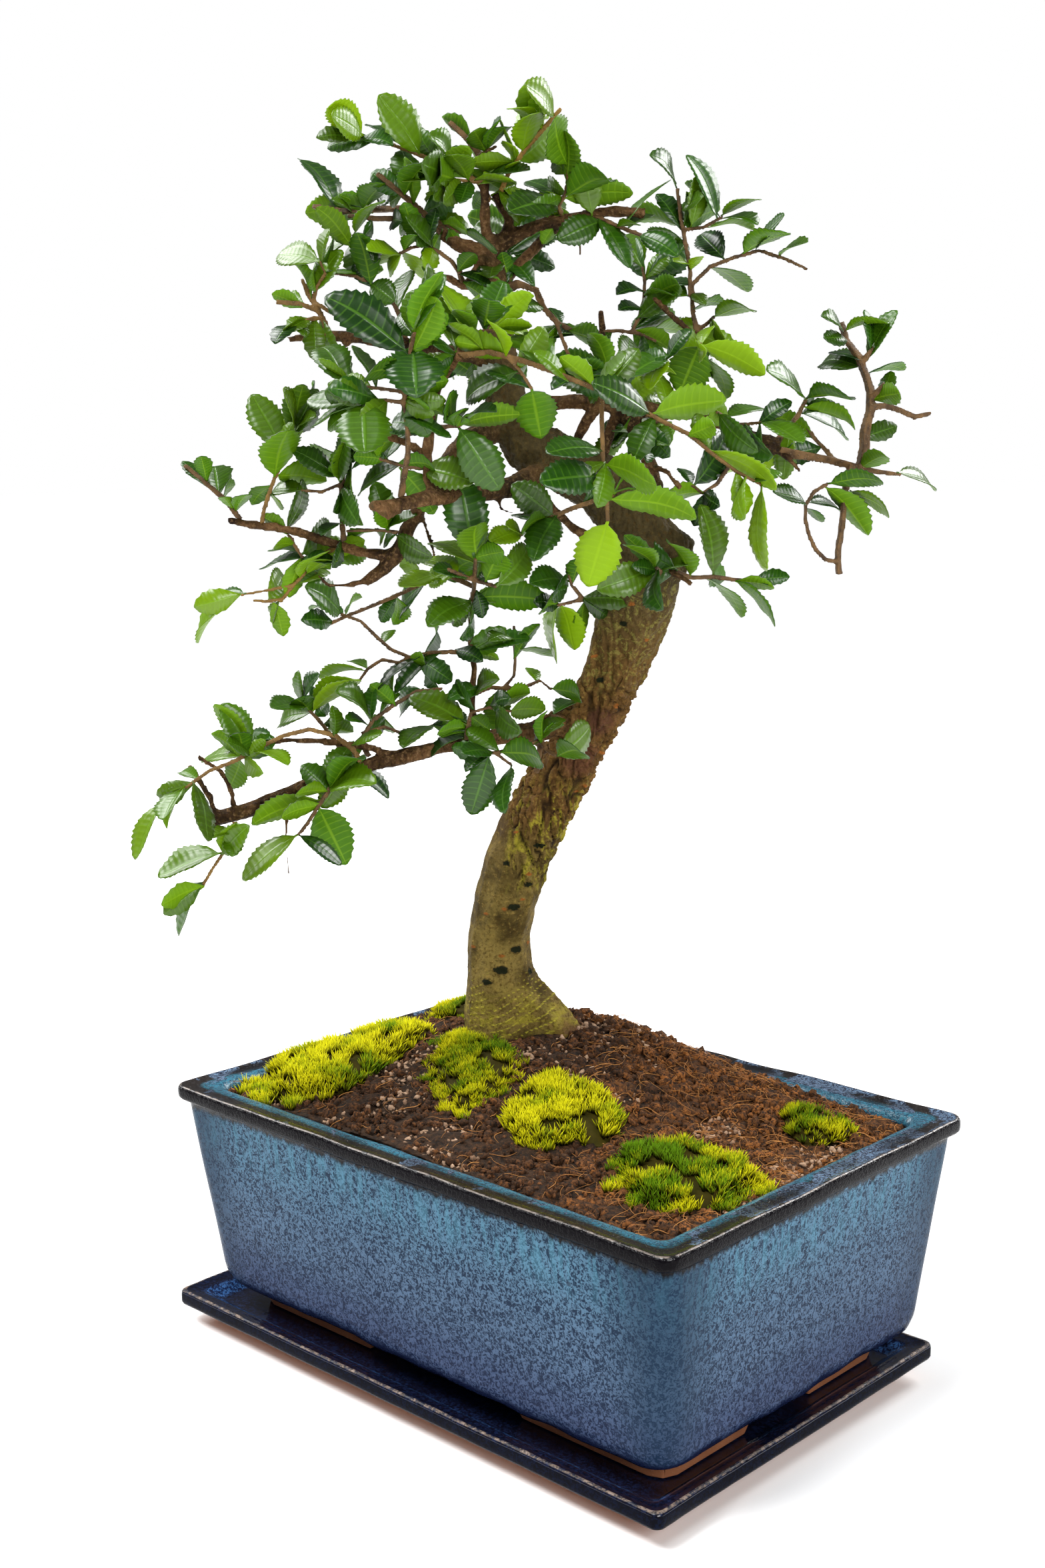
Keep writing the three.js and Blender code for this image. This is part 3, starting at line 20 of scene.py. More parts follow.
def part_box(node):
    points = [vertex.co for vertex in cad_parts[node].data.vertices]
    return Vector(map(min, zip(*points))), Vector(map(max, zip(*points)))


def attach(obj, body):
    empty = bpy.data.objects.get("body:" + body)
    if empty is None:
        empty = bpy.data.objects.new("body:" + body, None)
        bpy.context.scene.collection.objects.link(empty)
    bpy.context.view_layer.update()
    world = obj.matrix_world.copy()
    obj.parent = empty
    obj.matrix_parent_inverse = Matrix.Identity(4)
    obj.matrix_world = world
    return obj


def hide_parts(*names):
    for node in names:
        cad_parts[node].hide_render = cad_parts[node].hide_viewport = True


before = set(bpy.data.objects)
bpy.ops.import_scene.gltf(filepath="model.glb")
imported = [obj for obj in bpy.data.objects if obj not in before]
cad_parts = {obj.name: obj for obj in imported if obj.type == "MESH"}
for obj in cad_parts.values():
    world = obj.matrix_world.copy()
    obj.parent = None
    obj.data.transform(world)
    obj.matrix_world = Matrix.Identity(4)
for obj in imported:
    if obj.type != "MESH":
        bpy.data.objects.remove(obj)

mm = 0.001
scene = bpy.context.scene
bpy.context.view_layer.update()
sprays = sorted(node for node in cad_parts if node.startswith("spray_"))
cushions = sorted(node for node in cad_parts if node.startswith("moss_"))
print(len(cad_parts), "solids, of which", len(sprays), "sprays and", len(cushions), "moss cushions")

# %% [markdown]
# ## The camera
#
# The photograph looks down a little on a corner of the pot. Its camera was worked out
# from the corners of the pot and the saucer. The same camera serves twice: it frames the
# render, and it turns a reading in the photograph into a ray, so that a small leaf or a
# knot in the bark can be put where it was seen.

# %% The camera and its rays
photo_width = 1568
photo_height = 2352
focal_pixels = 2916.34
sensor_mm = 36
camera_place = Vector((458.94, -491.62, 330.96)) * mm
camera_turn = math.radians(43.889)
camera_dip = math.radians(10.040)
camera_roll = math.radians(0.968)

level_ahead = Vector((-math.sin(camera_turn), math.cos(camera_turn), 0))
camera_ahead = level_ahead * math.cos(camera_dip) - Vector((0, 0, math.sin(camera_dip)))
level_right = Vector((math.cos(camera_turn), math.sin(camera_turn), 0))
camera_right = Matrix.Rotation(camera_roll, 3, camera_ahead) @ level_right
camera_down = camera_ahead.cross(camera_right)


def sight_line(right, down):
    """The direction in which the camera sees a pixel of the photograph."""
    ray = camera_ahead * focal_pixels
    ray += camera_right * (right - photo_width / 2) + camera_down * (down - photo_height / 2)
    return ray.normalized()


def seen_at(point):
    """Where in the photograph a point is seen, and how far ahead of the camera it lies."""
    ray = point - camera_place
    ahead = ray.dot(camera_ahead)
    right = photo_width / 2 + focal_pixels * ray.dot(camera_right) / ahead
    down = photo_height / 2 + focal_pixels * ray.dot(camera_down) / ahead
    return right, down, ahead


def place_at(right, down, behind):
    """The point seen at a pixel that lies a given way behind the pot's middle."""
    ray = sight_line(right, down)
    reach = (behind - camera_place.dot(level_ahead)) / ray.dot(level_ahead)
    return camera_place + ray * reach


lens = bpy.data.cameras.new("photo_lens")
lens.sensor_width = sensor_mm
lens.lens = sensor_mm * focal_pixels / photo_height
lens.clip_start = 0.01
camera = bpy.data.objects.new("photo_camera", lens)
camera_axes = Matrix((camera_right, -camera_down, -camera_ahead)).transposed()
camera.matrix_world = Matrix.Translation(camera_place) @ camera_axes.to_4x4()
scene.collection.objects.link(camera)
scene.camera = camera
print("lens of", round(lens.lens, 2), "mm")

# %% [markdown]
# ## Shader maths
#
# A finish is a small network of nodes. Written node by node it is hard to read, so one
# class wraps a socket and lets plain sums add the Math nodes, and another holds the
# material and makes any other node from its type, its settings and its inputs.

# %% Sockets that can be used in sums
class Wire:
    """A node's output, which sums and products turn into Math nodes."""

    def __init__(self, finish, socket):
        self.finish = finish
        self.socket = socket

    def __add__(self, other):
        return self.finish.maths("ADD", self, other)

    def __radd__(self, other):
        return self.finish.maths("ADD", other, self)

    def __sub__(self, other):
        return self.finish.maths("SUBTRACT", self, other)

    def __rsub__(self, other):
        return self.finish.maths("SUBTRACT", other, self)

    def __mul__(self, other):
        return self.finish.maths("MULTIPLY", self, other)

    def __rmul__(self, other):
        return self.finish.maths("MULTIPLY", other, self)


class Finish:
    """One material, with its nodes made by name."""

    def __init__(self, name):
        self.material = bpy.data.materials.new(name)
        self.material.use_nodes = True
        self.tree = self.material.node_tree
        self.tree.nodes.clear()
        place = self.node("ShaderNodeTexCoord", output="Object")
        self.place = self.node(
            "ShaderNodeVectorMath", {"operation": "SCALE"}, {0: place, "Scale": 1 / mm}
        )
        parts = self.node("ShaderNodeSeparateXYZ", inputs={0: self.place})
        self.x, self.y, self.z = (Wire(self, socket) for socket in parts.socket.node.outputs)

    def node(self, kind, settings=None, inputs=None, output=0):
        """Adds a node, sets or links its inputs, and gives one of its outputs."""
        made = self.tree.nodes.new(kind)
        for setting, value in (settings or {}).items():
            setattr(made, setting, value)
        for key, value in (inputs or {}).items():
            if isinstance(value, Wire):
                self.tree.links.new(value.socket, made.inputs[key])
            else:
                made.inputs[key].default_value = value
        return Wire(self, made.outputs[output])

    def maths(self, operation, *values):
        return self.node("ShaderNodeMath", {"operation": operation}, dict(enumerate(values)))

    def fade(self, value, start, end):
        """A mask that runs smoothly from 0 at start to 1 at end."""
        inputs = {"Value": value, "From Min": start, "From Max": end}
        return self.node("ShaderNodeMapRange", {"interpolation_type": "SMOOTHSTEP"}, inputs)

    def blend(self, mask, low, high):
        """The colour low where the mask is 0, and high where it is 1."""
        colours = [c if isinstance(c, Wire) else (*c, 1) for c in (low, high)]
        inputs = {0: mask, 6: colours[0], 7: colours[1]}
        return self.node("ShaderNodeMix", {"data_type": "RGBA"}, inputs, output=2)

    def cloud(self, size, detail=3, stretch=(1, 1, 1), roughness=0.55, distortion=0):
        """Noise from 0 to 1 whose blotches are about size millimetres across."""
        vector = self.node("ShaderNodeVectorMath", {"operation": "MULTIPLY"}, {0: self.place, 1: stretch})
        inputs = {
            "Vector": vector, "Scale": 1 / size, "Detail": detail,
            "Roughness": roughness, "Distortion": distortion,
        }
        return self.node("ShaderNodeTexNoise", inputs=inputs)

    def cells(self, size):
        """Distance to the nearest of scattered points, which lie about size millimetres apart."""
        inputs = {"Vector": self.place, "Scale": 1 / size}
        return self.node("ShaderNodeTexVoronoi", inputs=inputs, output="Distance")

    def label(self, name):
        """A number that the mesh carries on its points."""
        return self.node("ShaderNodeAttribute", {"attribute_name": name}, output="Fac")

    def surface(self, colour, roughness, relief=None, relief_mm=0.1, **fixed):
        """Ends the finish: what varies is linked, and fixed values are set on the shader."""
        inputs = {"Base Color": colour, "Roughness": roughness}
        if relief is not None:
            bump = {"Height": relief, "Strength": 1, "Distance": relief_mm * mm}
            inputs["Normal"] = self.node("ShaderNodeBump", inputs=bump)
        inputs.update({key.replace("_", " "): value for key, value in fixed.items()})
        shader = self.node("ShaderNodeBsdfPrincipled", inputs=inputs)
        end = self.tree.nodes.new("ShaderNodeOutputMaterial")
        self.tree.links.new(shader.socket, end.inputs["Surface"])
        return self.material


print("shader helpers ready")

# %% [markdown]
# ## Working on copies of the solids
#
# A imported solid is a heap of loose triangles. A copy of it is joined first, and only then
# cut, thickened or remeshed. A voxel remesh wraps the copy in an even skin of small
# faces, which is what bark and knuckled twigs need, and rounds off three-sided sticks.

# %% Copies, remeshing and pieces
triangles = []
weld_reach = 0.002 * mm


def mesh_of(name, shape):
    """A mesh made from a bmesh, which is freed."""
    mesh = bpy.data.meshes.new(name)
    shape.to_mesh(mesh)
    shape.free()
    return mesh


def link_object(name, data):
    """An object in the scene that shows a mesh or a lamp."""
    made = bpy.data.objects.new(name, data)
    scene.collection.objects.link(made)
    return made


def modified(work):
    """A bmesh of what an object's modifiers make of it."""
    result = bpy.data.meshes.new_from_object(work.evaluated_get(bpy.context.evaluated_depsgraph_get()))
    shape = bmesh.new()
    shape.from_mesh(result)
    bpy.data.meshes.remove(result)
    return shape


def add_copy(shape, mold):
    """Adds a mesh to a bmesh and gives its new points."""
    before = len(shape.verts)
    shape.from_mesh(mold)
    shape.verts.ensure_lookup_table()
    return shape.verts[before:]


def add_labels(shape, *names):
    """Lets each point of a bmesh carry a number under each of these names."""
    return [shape.verts.layers.float.new(name) for name in names]


def joined_copy(node):
    """A bmesh of a solid whose triangles share their corners."""
    shape = bmesh.new()
    shape.from_mesh(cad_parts[node].data)
    bmesh.ops.remove_doubles(shape, verts=shape.verts, dist=weld_reach)
    return shape


def remeshed(shape, voxel):
    """A new bmesh with an even skin of faces around the old one, which is freed."""
    work = link_object("work", mesh_of("work", shape))
    skin = work.modifiers.new("skin", "REMESH")
    skin.mode = "VOXEL"
    skin.voxel_size = voxel
    shape = modified(work)
    bpy.data.meshes.remove(work.data)
    return shape


def fatten(shape, amount):
    """Moves every point outwards by an amount, or by what a function of the point gives."""
    shape.normal_update()
    moves = [(v, v.normal * (amount(v) if callable(amount) else amount)) for v in shape.verts]
    for v, move in moves:
        v.co += move


def piece(name, shape, finishes, slot, *stands_for):
    """Makes a bmesh into a smooth named piece of the bonsai and frees the bmesh."""
    mesh = mesh_of(name, shape)
    for finish in finishes:
        mesh.materials.append(finish)
    mesh.shade_smooth()
    made = link_object(name, mesh)
    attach(made, "root")
    if stands_for:
        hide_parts(*stands_for)
    mesh.calc_loop_triangles()
    triangles.append(len(mesh.loop_triangles))
    return made


print("mesh helpers ready")

# %% [markdown]
# ## Finishes of the foliage
#
# An elm leaf is glossy and dark above, paler and duller below, with a pale midrib and
# straight side veins that each end in a tooth. The leaf's own UV map runs from foot to
# tip and across, so the veins follow every leaf however it is bent. Two numbers that
# each leaf carries, its youth and its tone, turn it from dark green to yellow-green.

# %% Leaf and twig finishes
teeth = 10


def leaf_finish(name, dark, fresh, young, vein_colour, roughness, shine):
    """One side of a leaf: u runs from its foot to its tip, and out from midrib to margin."""
    finish = Finish(name)
    along = finish.node("ShaderNodeUVMap", {"uv_map": "blade"})
    parts = finish.node("ShaderNodeSeparateXYZ", inputs={0: along})
    u, v = (Wire(finish, socket) for socket in parts.socket.node.outputs[:2])
    out = finish.maths("ABSOLUTE", v * 2 - 1)
    phase = finish.maths("PINGPONG", u * teeth + 0.5, 0.5)
    side_vein = (1 - finish.fade(phase, 0.02, 0.14)) * finish.fade(out, 1.0, 0.7)
    midrib = 1 - finish.fade(out, 0.02, 0.11)
    vein = finish.maths("MAXIMUM", midrib * 0.9, side_vein * 0.5)
    tone = finish.label("tone")
    youth = finish.label("youth")
    mottle = finish.cloud(3.5, detail=3)
    green = finish.blend(tone * 0.8 + mottle * 0.6 - 0.2, dark, fresh)
    green = finish.blend(youth, green, young)
    colour = finish.blend(vein * 0.6, green, finish.blend(youth, vein_colour, young))
    brown_edge = finish.fade(out + 0.25 * finish.cloud(1.2), 1.12, 1.2) * finish.fade(tone, 0.5, 0.8)
    colour = finish.blend(brown_edge * 0.6, colour, (0.12, 0.08, 0.015))
    pillow = finish.fade(phase, 0.0, 0.5) * 0.5 - midrib * 0.8 + mottle * 0.5
    roughness = roughness + 0.15 * mottle
    return finish.surface(colour, roughness, pillow, relief_mm=0.1, Specular_IOR_Level=shine)


leaf_top = leaf_finish(
    "leaf_top", dark=(0.003, 0.018, 0.0015), fresh=(0.019, 0.078, 0.001), young=(0.21, 0.37, 0.001),
    vein_colour=(0.07, 0.18, 0.01), roughness=0.25, shine=0.4,
)
leaf_under = leaf_finish(
    "leaf_under", dark=(0.024, 0.08, 0.002), fresh=(0.068, 0.18, 0.002), young=(0.25, 0.41, 0.002),
    vein_colour=(0.17, 0.31, 0.01), roughness=0.4, shine=0.15,
)


def twig_finish():
    finish = Finish("twig_bark")
    patch = finish.cloud(4, detail=4)
    fleck = 1 - finish.fade(finish.cells(1.1), 0.1, 0.3)
    young = finish.label("youth")
    old = finish.blend(finish.fade(patch, 0.3, 0.7), (0.022, 0.01, 0.005), (0.13, 0.068, 0.027))
    stem = finish.blend(patch, (0.17, 0.075, 0.012), (0.34, 0.21, 0.03))
    colour = finish.blend(young, old, stem)
    colour = finish.blend(fleck * 0.4, colour, (0.33, 0.23, 0.13))
    return finish.surface(
        colour, 0.6 + 0.2 * patch, patch + fleck * 0.6, relief_mm=0.5, Specular_IOR_Level=0.3
    )


twig_bark = twig_finish()
print("foliage finishes made")

# %% [markdown]
# ## Reading the leaves back from the solids
#
# Each leaf of a packed spray is a plain blade of eight corners, fused to its twig. Every
# blade is equally thick, so the short edges through it give it away: they all have that
# length and, within one blade, one direction. From where they stand the blade's foot,
# tip, width and facing are worked out, and a fine leaf can then take its place exactly.

# %% Finding the blades of a spray
blade_thickness = 0.66 * mm
blade_stations = [(0.34, 0.48), (0.41, 0.37), (0.68, 0.36)]
blade_arch = 0.07
longest_blade = 45 * mm
length_slack = 0.0012 * mm
direction_slack = 2e-6
fit_slack = 0.1 * mm
least_points = 4


def blade_rims(shape):
    """Groups the edges through each blade by their direction."""
    groups = []
    for edge in shape.edges:
        if abs(edge.calc_length() - blade_thickness) > length_slack:
            continue
        low, high = (v.co for v in edge.verts)
        heading = (high - low).normalized()
        middle = (low + high) / 2
        for group in groups:
            near = (group["middles"][0] - middle).length < longest_blade
            if near and 1 - abs(group["heading"].dot(heading)) < direction_slack:
                group["middles"].append(middle)
                group["corners"].update(edge.verts)
                break
        else:
            groups.append({"heading": heading, "middles": [middle], "corners": set(edge.verts)})
    return [group for group in groups if len(group["middles"]) >= least_points]


def read_blade(group):
    """The blade whose outline fits the most of a group's points."""
    heading = group["heading"]
    heights = [point.dot(heading) for point in group["middles"]]
    flat = [point - heading * height for point, height in zip(group["middles"], heights)]
    best = {"score": 0}
    for tip in range(len(flat)):
        for a, b in itertools.combinations([i for i in range(len(flat)) if i != tip], 2):
            across = flat[a] - flat[b]
            axis = flat[tip] - (flat[a] + flat[b]) / 2
            if abs(axis.dot(across)) > 0.01 * axis.length * across.length:
                continue
            for x, half in blade_stations:
                length = axis.length / (1 - x)
                width = across.length / (2 * half)
                if not 0.2 < width / length < 1.1:
                    continue
                axis_way = axis.normalized()
                across_way = across.normalized()
                score = fitting_points(flat, flat[tip], axis_way, across_way, length, width)
                if score > best["score"]:
                    best = {
                        "score": score, "tip": tip, "axis": axis_way, "length": length,
                        "across": across_way, "width": width,
                    }
    if best["score"] < least_points:
        return None
    tip = best["tip"]
    others = [height for i, height in enumerate(heights) if i != tip]
    bulge = sum(others) / len(others) - heights[tip]
    best["up"] = heading if bulge > 0 else -heading
    best["tip"] = group["middles"][tip]
    best["foot"] = best["tip"] - best["axis"] * best["length"]
    return best


def fitting_points(flat, tip, axis, across, length, width):
    """How many points lie on the outline of a blade of this length and width."""
    spots = [(1, 0)] + [(x, side * half) for x, half in blade_stations for side in (1, -1)]
    outline = [tip + axis * ((x - 1) * length) + across * (y * width) for x, y in spots]
    return sum(min((point - spot).length for spot in outline) < fit_slack for point in flat)


def split_spray(node):
    """The blades of a spray, and a bmesh of its bare twigs."""
    shape = joined_copy(node)
    groups = blade_rims(shape)
    blades = []
    gone = set()
    for group in groups:
        blade = read_blade(group)
        if blade is None:
            continue
        blades.append(blade)
        for face in shape.faces:
            if any(v in group["corners"] for v in face.verts) or in_blade(face, blade):
                gone.add(face)
    bmesh.ops.delete(shape, geom=list(gone), context="FACES")
    bmesh.ops.holes_fill(shape, edges=[edge for edge in shape.edges if edge.is_boundary])
    return blades, shape


def in_blade(face, blade):
    """True for a scrap of a blade's sheet that touches none of its corners."""
    for v in face.verts:
        out = v.co - blade["foot"]
        x = out.dot(blade["axis"]) / blade["length"]
        if not 0.12 < x < 1.05 or abs(out.dot(blade["across"])) > 0.55 * blade["width"]:
            return False
        lift = out.dot(blade["up"]) - blade_arch * blade["length"] * math.sin(math.pi * min(x, 1))
        if abs(lift) > 0.9 * blade_thickness:
            return False
    return True


spray_blades = {}
spray_twigs = {}
for node in sprays:
    spray_blades[node], spray_twigs[node] = split_spray(node)
print(sum(len(blades) for blades in spray_blades.values()), "blades read back")

# %% [markdown]
# ## Small leaves
#
# The solids carry the large leaves only. The smaller ones that the photograph shows are
# listed here by spray, each as its foot, its tip and its width in pixels, and more small
# leaves grow from the twigs by a rule, as buds do. A leaf always starts on its twig.

# %% Where the small leaves are
small_leaves = {
    "spray_crown_core": [
        (665, 270, 650, 300, 20), (705, 272, 690, 305, 28), (690, 270, 665, 305, 26),
        (680, 275, 648, 315, 20), (724, 270, 795, 255, 12),
    ],
    "spray_crown_tip": [(732, 222, 751, 178, 6)],
    "spray_front_fan": [
        (622, 503, 597, 475, 30), (622, 527, 625, 597, 88), (650, 532, 655, 446, 48),
        (612, 500, 668, 412, 34), (600, 505, 642, 395, 26),
    ],
    "spray_front_left": [(692, 636, 745, 618, 8)],
    "spray_front_low": [(710, 902, 690, 958, 10), (712, 832, 690, 716, 66)],
    "spray_front_mid": [(712, 500, 683, 465, 24)],
    "spray_knee_right": [(1038, 728, 1020, 703, 16)],
    "spray_left_back": [(598, 800, 576, 818, 14), (560, 796, 524, 815, 14)],
    "spray_left_inner": [
        (512, 740, 500, 768, 14), (514, 786, 482, 803, 12), (515, 716, 500, 695, 24),
        (455, 735, 402, 747, 18),
    ],
    "spray_left_low": [(458, 860, 505, 842, 10), (367, 891, 308, 912, 12)],
    "spray_left_mid": [(561, 686, 530, 700, 14)],
    "spray_left_stem": [
        (404, 738, 421, 764, 6), (442, 646, 475, 625, 12), (406, 730, 378, 757, 28),
        (442, 645, 425, 583, 14),
    ],
    "spray_left_tip": [(350, 763, 332, 746, 16)],
    "spray_left_under": [(442, 816, 412, 820, 16), (448, 828, 405, 827, 8)],
    "spray_low_cluster": [
        (484, 1088, 508, 1072, 20), (472, 1076, 492, 1052, 24), (492, 1098, 530, 1098, 20),
        (456, 1056, 480, 1012, 16),
    ],
    "spray_low_hang": [(482, 1203, 452, 1222, 16), (492, 1187, 445, 1190, 22)],
    "spray_low_mid": [
        (660, 1033, 642, 1006, 18), (553, 1088, 518, 1080, 12), (566, 1078, 600, 1042, 14),
        (546, 1098, 577, 1080, 22),
    ],
    "spray_low_stem": [(368, 1137, 395, 1160, 22), (374, 1133, 340, 1112, 22), (380, 1128, 432, 1148, 16)],
    "spray_low_tip": [(352, 1250, 348, 1285, 30), (353, 1248, 308, 1258, 18)],
    "spray_low_top": [(702, 1092, 658, 1098, 22), (706, 1078, 735, 1095, 30)],
    "spray_low_trunk": [(740, 1129, 692, 1130, 22)],
    "spray_low_twig": [
        (516, 922, 466, 915, 10), (522, 924, 543, 896, 5), (575, 964, 590, 945, 14),
        (637, 980, 652, 940, 12), (548, 1008, 480, 1018, 12),
    ],
    "spray_mid_right": [
        (966, 446, 1010, 443, 6), (962, 466, 928, 465, 16), (950, 498, 988, 462, 6),
        (968, 442, 925, 442, 16), (842, 488, 825, 462, 22), (816, 462, 770, 460, 22),
    ],
    "spray_mid_yellow": [(805, 785, 770, 772, 12)],
    "spray_right_front": [(1051, 518, 1068, 490, 16)],
    "spray_right_mid": [(1104, 636, 1122, 668, 20), (1090, 626, 1143, 612, 18)],
    "spray_right_outer": [
        (1209, 765, 1233, 783, 12), (1266, 498, 1232, 474, 14), (1266, 495, 1333, 485, 8),
        (1290, 540, 1246, 528, 12), (1299, 562, 1357, 555, 10), (1211, 755, 1262, 768, 12),
        (1272, 512, 1236, 507, 22), (1347, 711, 1401, 735, 14), (1210, 756, 1160, 738, 20),
    ],
    "spray_right_up": [
        (1036, 404, 1052, 385, 14), (1034, 400, 1010, 392, 10), (1165, 384, 1212, 363, 5),
        (1038, 440, 1058, 458, 18), (1068, 478, 1088, 508, 14), (1022, 318, 1055, 295, 18),
        (1082, 324, 1140, 300, 12), (1084, 328, 1137, 337, 14), (1060, 342, 1130, 345, 10),
        (1040, 425, 990, 430, 14), (1040, 462, 1085, 455, 14), (1050, 490, 1018, 490, 22),
        (1029, 366, 972, 350, 18), (1080, 326, 1028, 275, 14), (1135, 376, 1177, 322, 12),
    ],
    "spray_thread": [(773, 978, 830, 985, 8), (806, 1024, 792, 1002, 16)],
    "spray_top_inner": [
        (601, 382, 585, 412, 16), (606, 377, 622, 352, 20), (600, 382, 560, 398, 16),
        (648, 370, 640, 405, 28), (600, 382, 550, 375, 18), (688, 405, 712, 380, 26),
    ],
    "spray_top_left": [(600, 216, 551, 189, 14), (712, 238, 676, 222, 22), (722, 262, 655, 275, 14)],
    "spray_top_left_cut": [
        (605, 290, 585, 305, 20), (625, 325, 600, 350, 22), (665, 335, 700, 345, 20),
        (670, 345, 690, 365, 24), (645, 332, 625, 368, 26), (695, 350, 745, 376, 16),
    ],
    "spray_top_mid": [(850, 290, 822, 270, 22), (855, 262, 832, 232, 24)],
    "spray_top_right": [(956, 300, 1006, 270, 8), (925, 338, 958, 338, 10)],
    "spray_top_twin": [(560, 332, 545, 355, 16)],
    "spray_top_yellow": [
        (772, 240, 757, 212, 16), (768, 250, 750, 178, 8), (755, 280, 775, 296, 18),
        (752, 288, 772, 306, 14), (762, 262, 778, 242, 10), (812, 180, 763, 164, 14),
        (790, 215, 822, 178, 16),
    ],
    "spray_trunk_left": [(852, 860, 828, 900, 16)],
    "spray_upleft_end": [
        (455, 457, 433, 445, 22), (460, 480, 425, 494, 8), (446, 485, 458, 505, 16),
        (481, 393, 500, 358, 12), (474, 438, 474, 398, 10), (490, 405, 533, 415, 8),
    ],
    "spray_upleft_in": [
        (546, 418, 575, 405, 16), (530, 354, 560, 395, 14), (531, 352, 577, 303, 14),
        (531, 356, 480, 396, 14),
    ],
}
full_length = 24 * mm
slimness = 0.52


def pose_leaf(foot, tip, width, roll):
    """A leaf between two points, turned about its own length from facing the camera."""
    axis = (tip - foot).normalized()
    sight = (foot - camera_place).normalized()
    across = Matrix.Rotation(roll, 3, axis) @ axis.cross(sight).normalized()
    up = across.cross(axis).normalized()
    if (up.z if abs(up.z) > 0.25 else -up.dot(sight)) < 0:
        up, across = -up, -across
    return {
        "foot": foot, "tip": tip, "axis": axis, "across": across, "up": up,
        "width": width, "length": (tip - foot).length,
    }


def read_small_leaf(twigs, reading, chance):
    """The leaf seen at a reading, with its foot on the nearest point of its twigs."""
    foot_right, foot_down, tip_right, tip_down, width_seen = reading
    carrier = min(twigs, key=lambda p: math.hypot(seen_at(p)[0] - foot_right, seen_at(p)[1] - foot_down))
    behind = carrier.dot(level_ahead)
    scale = seen_at(carrier)[2] / focal_pixels
    seen = math.hypot(tip_right - foot_right, tip_down - foot_down) * scale
    length = max(seen, min(0.8 * full_length, seen * 1.2 + 3 * mm))
    lean = math.sqrt(length ** 2 - seen ** 2) * chance.choice((-1, 1))
    tip = place_at(tip_right, tip_down, behind + lean)
    width = max(width_seen * scale, slimness * length)
    roll = math.acos(min(1, width_seen * scale / width)) * chance.choice((-1, 1))
    return pose_leaf(carrier.copy(), tip, width, roll)


def bud_leaf(twigs, middle, chance):
    """A small leaf that grows out from a random place on the twigs."""
    foot = chance.choice(twigs)
    outwards = (foot - middle).normalized()
    sway = Vector((chance.uniform(-1, 1), chance.uniform(-1, 1), chance.uniform(-0.6, 0.9)))
    length = chance.triangular(8, 21, 14) * mm
    tip = foot + (outwards + sway).normalized() * length
    return pose_leaf(foot.copy(), tip, length * chance.uniform(0.45, 0.6), chance.uniform(-1.2, 1.2))


print(sum(len(leaves) for leaves in small_leaves.values()), "small leaves listed")

# %% [markdown]
# ## The leaf
#
# A leaf is a grid that is closed into a thin shell while it is still flat, and then bent
# point by point: the grid's rows lean forward like the veins, every other row reaches
# out to a tooth at the margin, the halves fold up along the midrib, the sheet swells
# between the veins, and the whole is arched. Each leaf gets its own fold, wave and curl.

# %% One flat leaf, and how a leaf is bent
leaf_thickness = 0.25 * mm
petiole_share = 0.07
small_leaf = 17 * mm
bud_teeth = 10


def flat_leaf(rows, columns):
    """A closed flat shell one unit long and one wide, with its UV map and two finishes."""
    shape = bmesh.new()
    bmesh.ops.create_grid(shape, x_segments=rows, y_segments=columns, size=0.5)
    bmesh.ops.translate(shape, verts=shape.verts, vec=(0.5, 0, 0))
    bmesh.ops.solidify(shape, geom=shape.faces, thickness=0.02)
    bmesh.ops.recalc_face_normals(shape, faces=shape.faces)
    lowest = min(v.co.z for v in shape.verts)
    for v in shape.verts:
        v.co.z = -0.5 if v.co.z < lowest + 0.01 else 0.5
    uv = shape.loops.layers.uv.new("blade")
    for face in shape.faces:
        face.material_index = 1 if face.normal.z < -0.5 else 0
        for loop in face.loops:
            loop[uv].uv = (loop.vert.co.x, loop.vert.co.y + 0.5)
    return mesh_of("flat_leaf", shape)


def half_width(u):
    """Half the width of an elm leaf at a share u of its length, as a share of the width."""
    open_share = max(0.0, (u - petiole_share) / (1 - petiole_share))
    return 0.035 + 0.465 * max(0.0, math.sin(math.pi * min(1, open_share) ** 0.92)) ** 0.62


def bent_point(flat, leaf):
    """Where a point of the flat leaf goes on one leaf."""
    u = flat.x
    v = 2 * flat.y
    out = abs(v)
    on_tooth = round(u * leaf["rows"]) % 2
    margin = out ** 8
    toothed = 1 + margin * (0.07 if on_tooth else -0.065)
    open_leaf = math.sin(math.pi * u)
    x = u + 0.1 * out * open_leaf * (1 - u) + (0.025 * margin * open_leaf if on_tooth else 0)
    y = v * half_width(u) * toothed
    swell = 0.006 * (1 if on_tooth else -1) * 4 * out * max(0.0, 0.95 - out) * open_leaf
    fold = leaf["fold"] * abs(y) - 0.05 * leaf["cup"] * out ** 3 * open_leaf
    wave = leaf["wave"] * margin ** 0.4 * math.sin(2 * math.pi * (2.2 * x + leaf["phase"])) * open_leaf
    z = (fold + swell + wave) * leaf["width"] + flat.z * leaf_thickness
    z += (blade_arch + leaf["curl"] * (x - 0.3)) * leaf["length"] * math.sin(math.pi * min(1, x))
    return (
        leaf["foot"] + leaf["axis"] * (x * leaf["length"])
        + leaf["across"] * (y * leaf["width"]) + leaf["up"] * z
    )


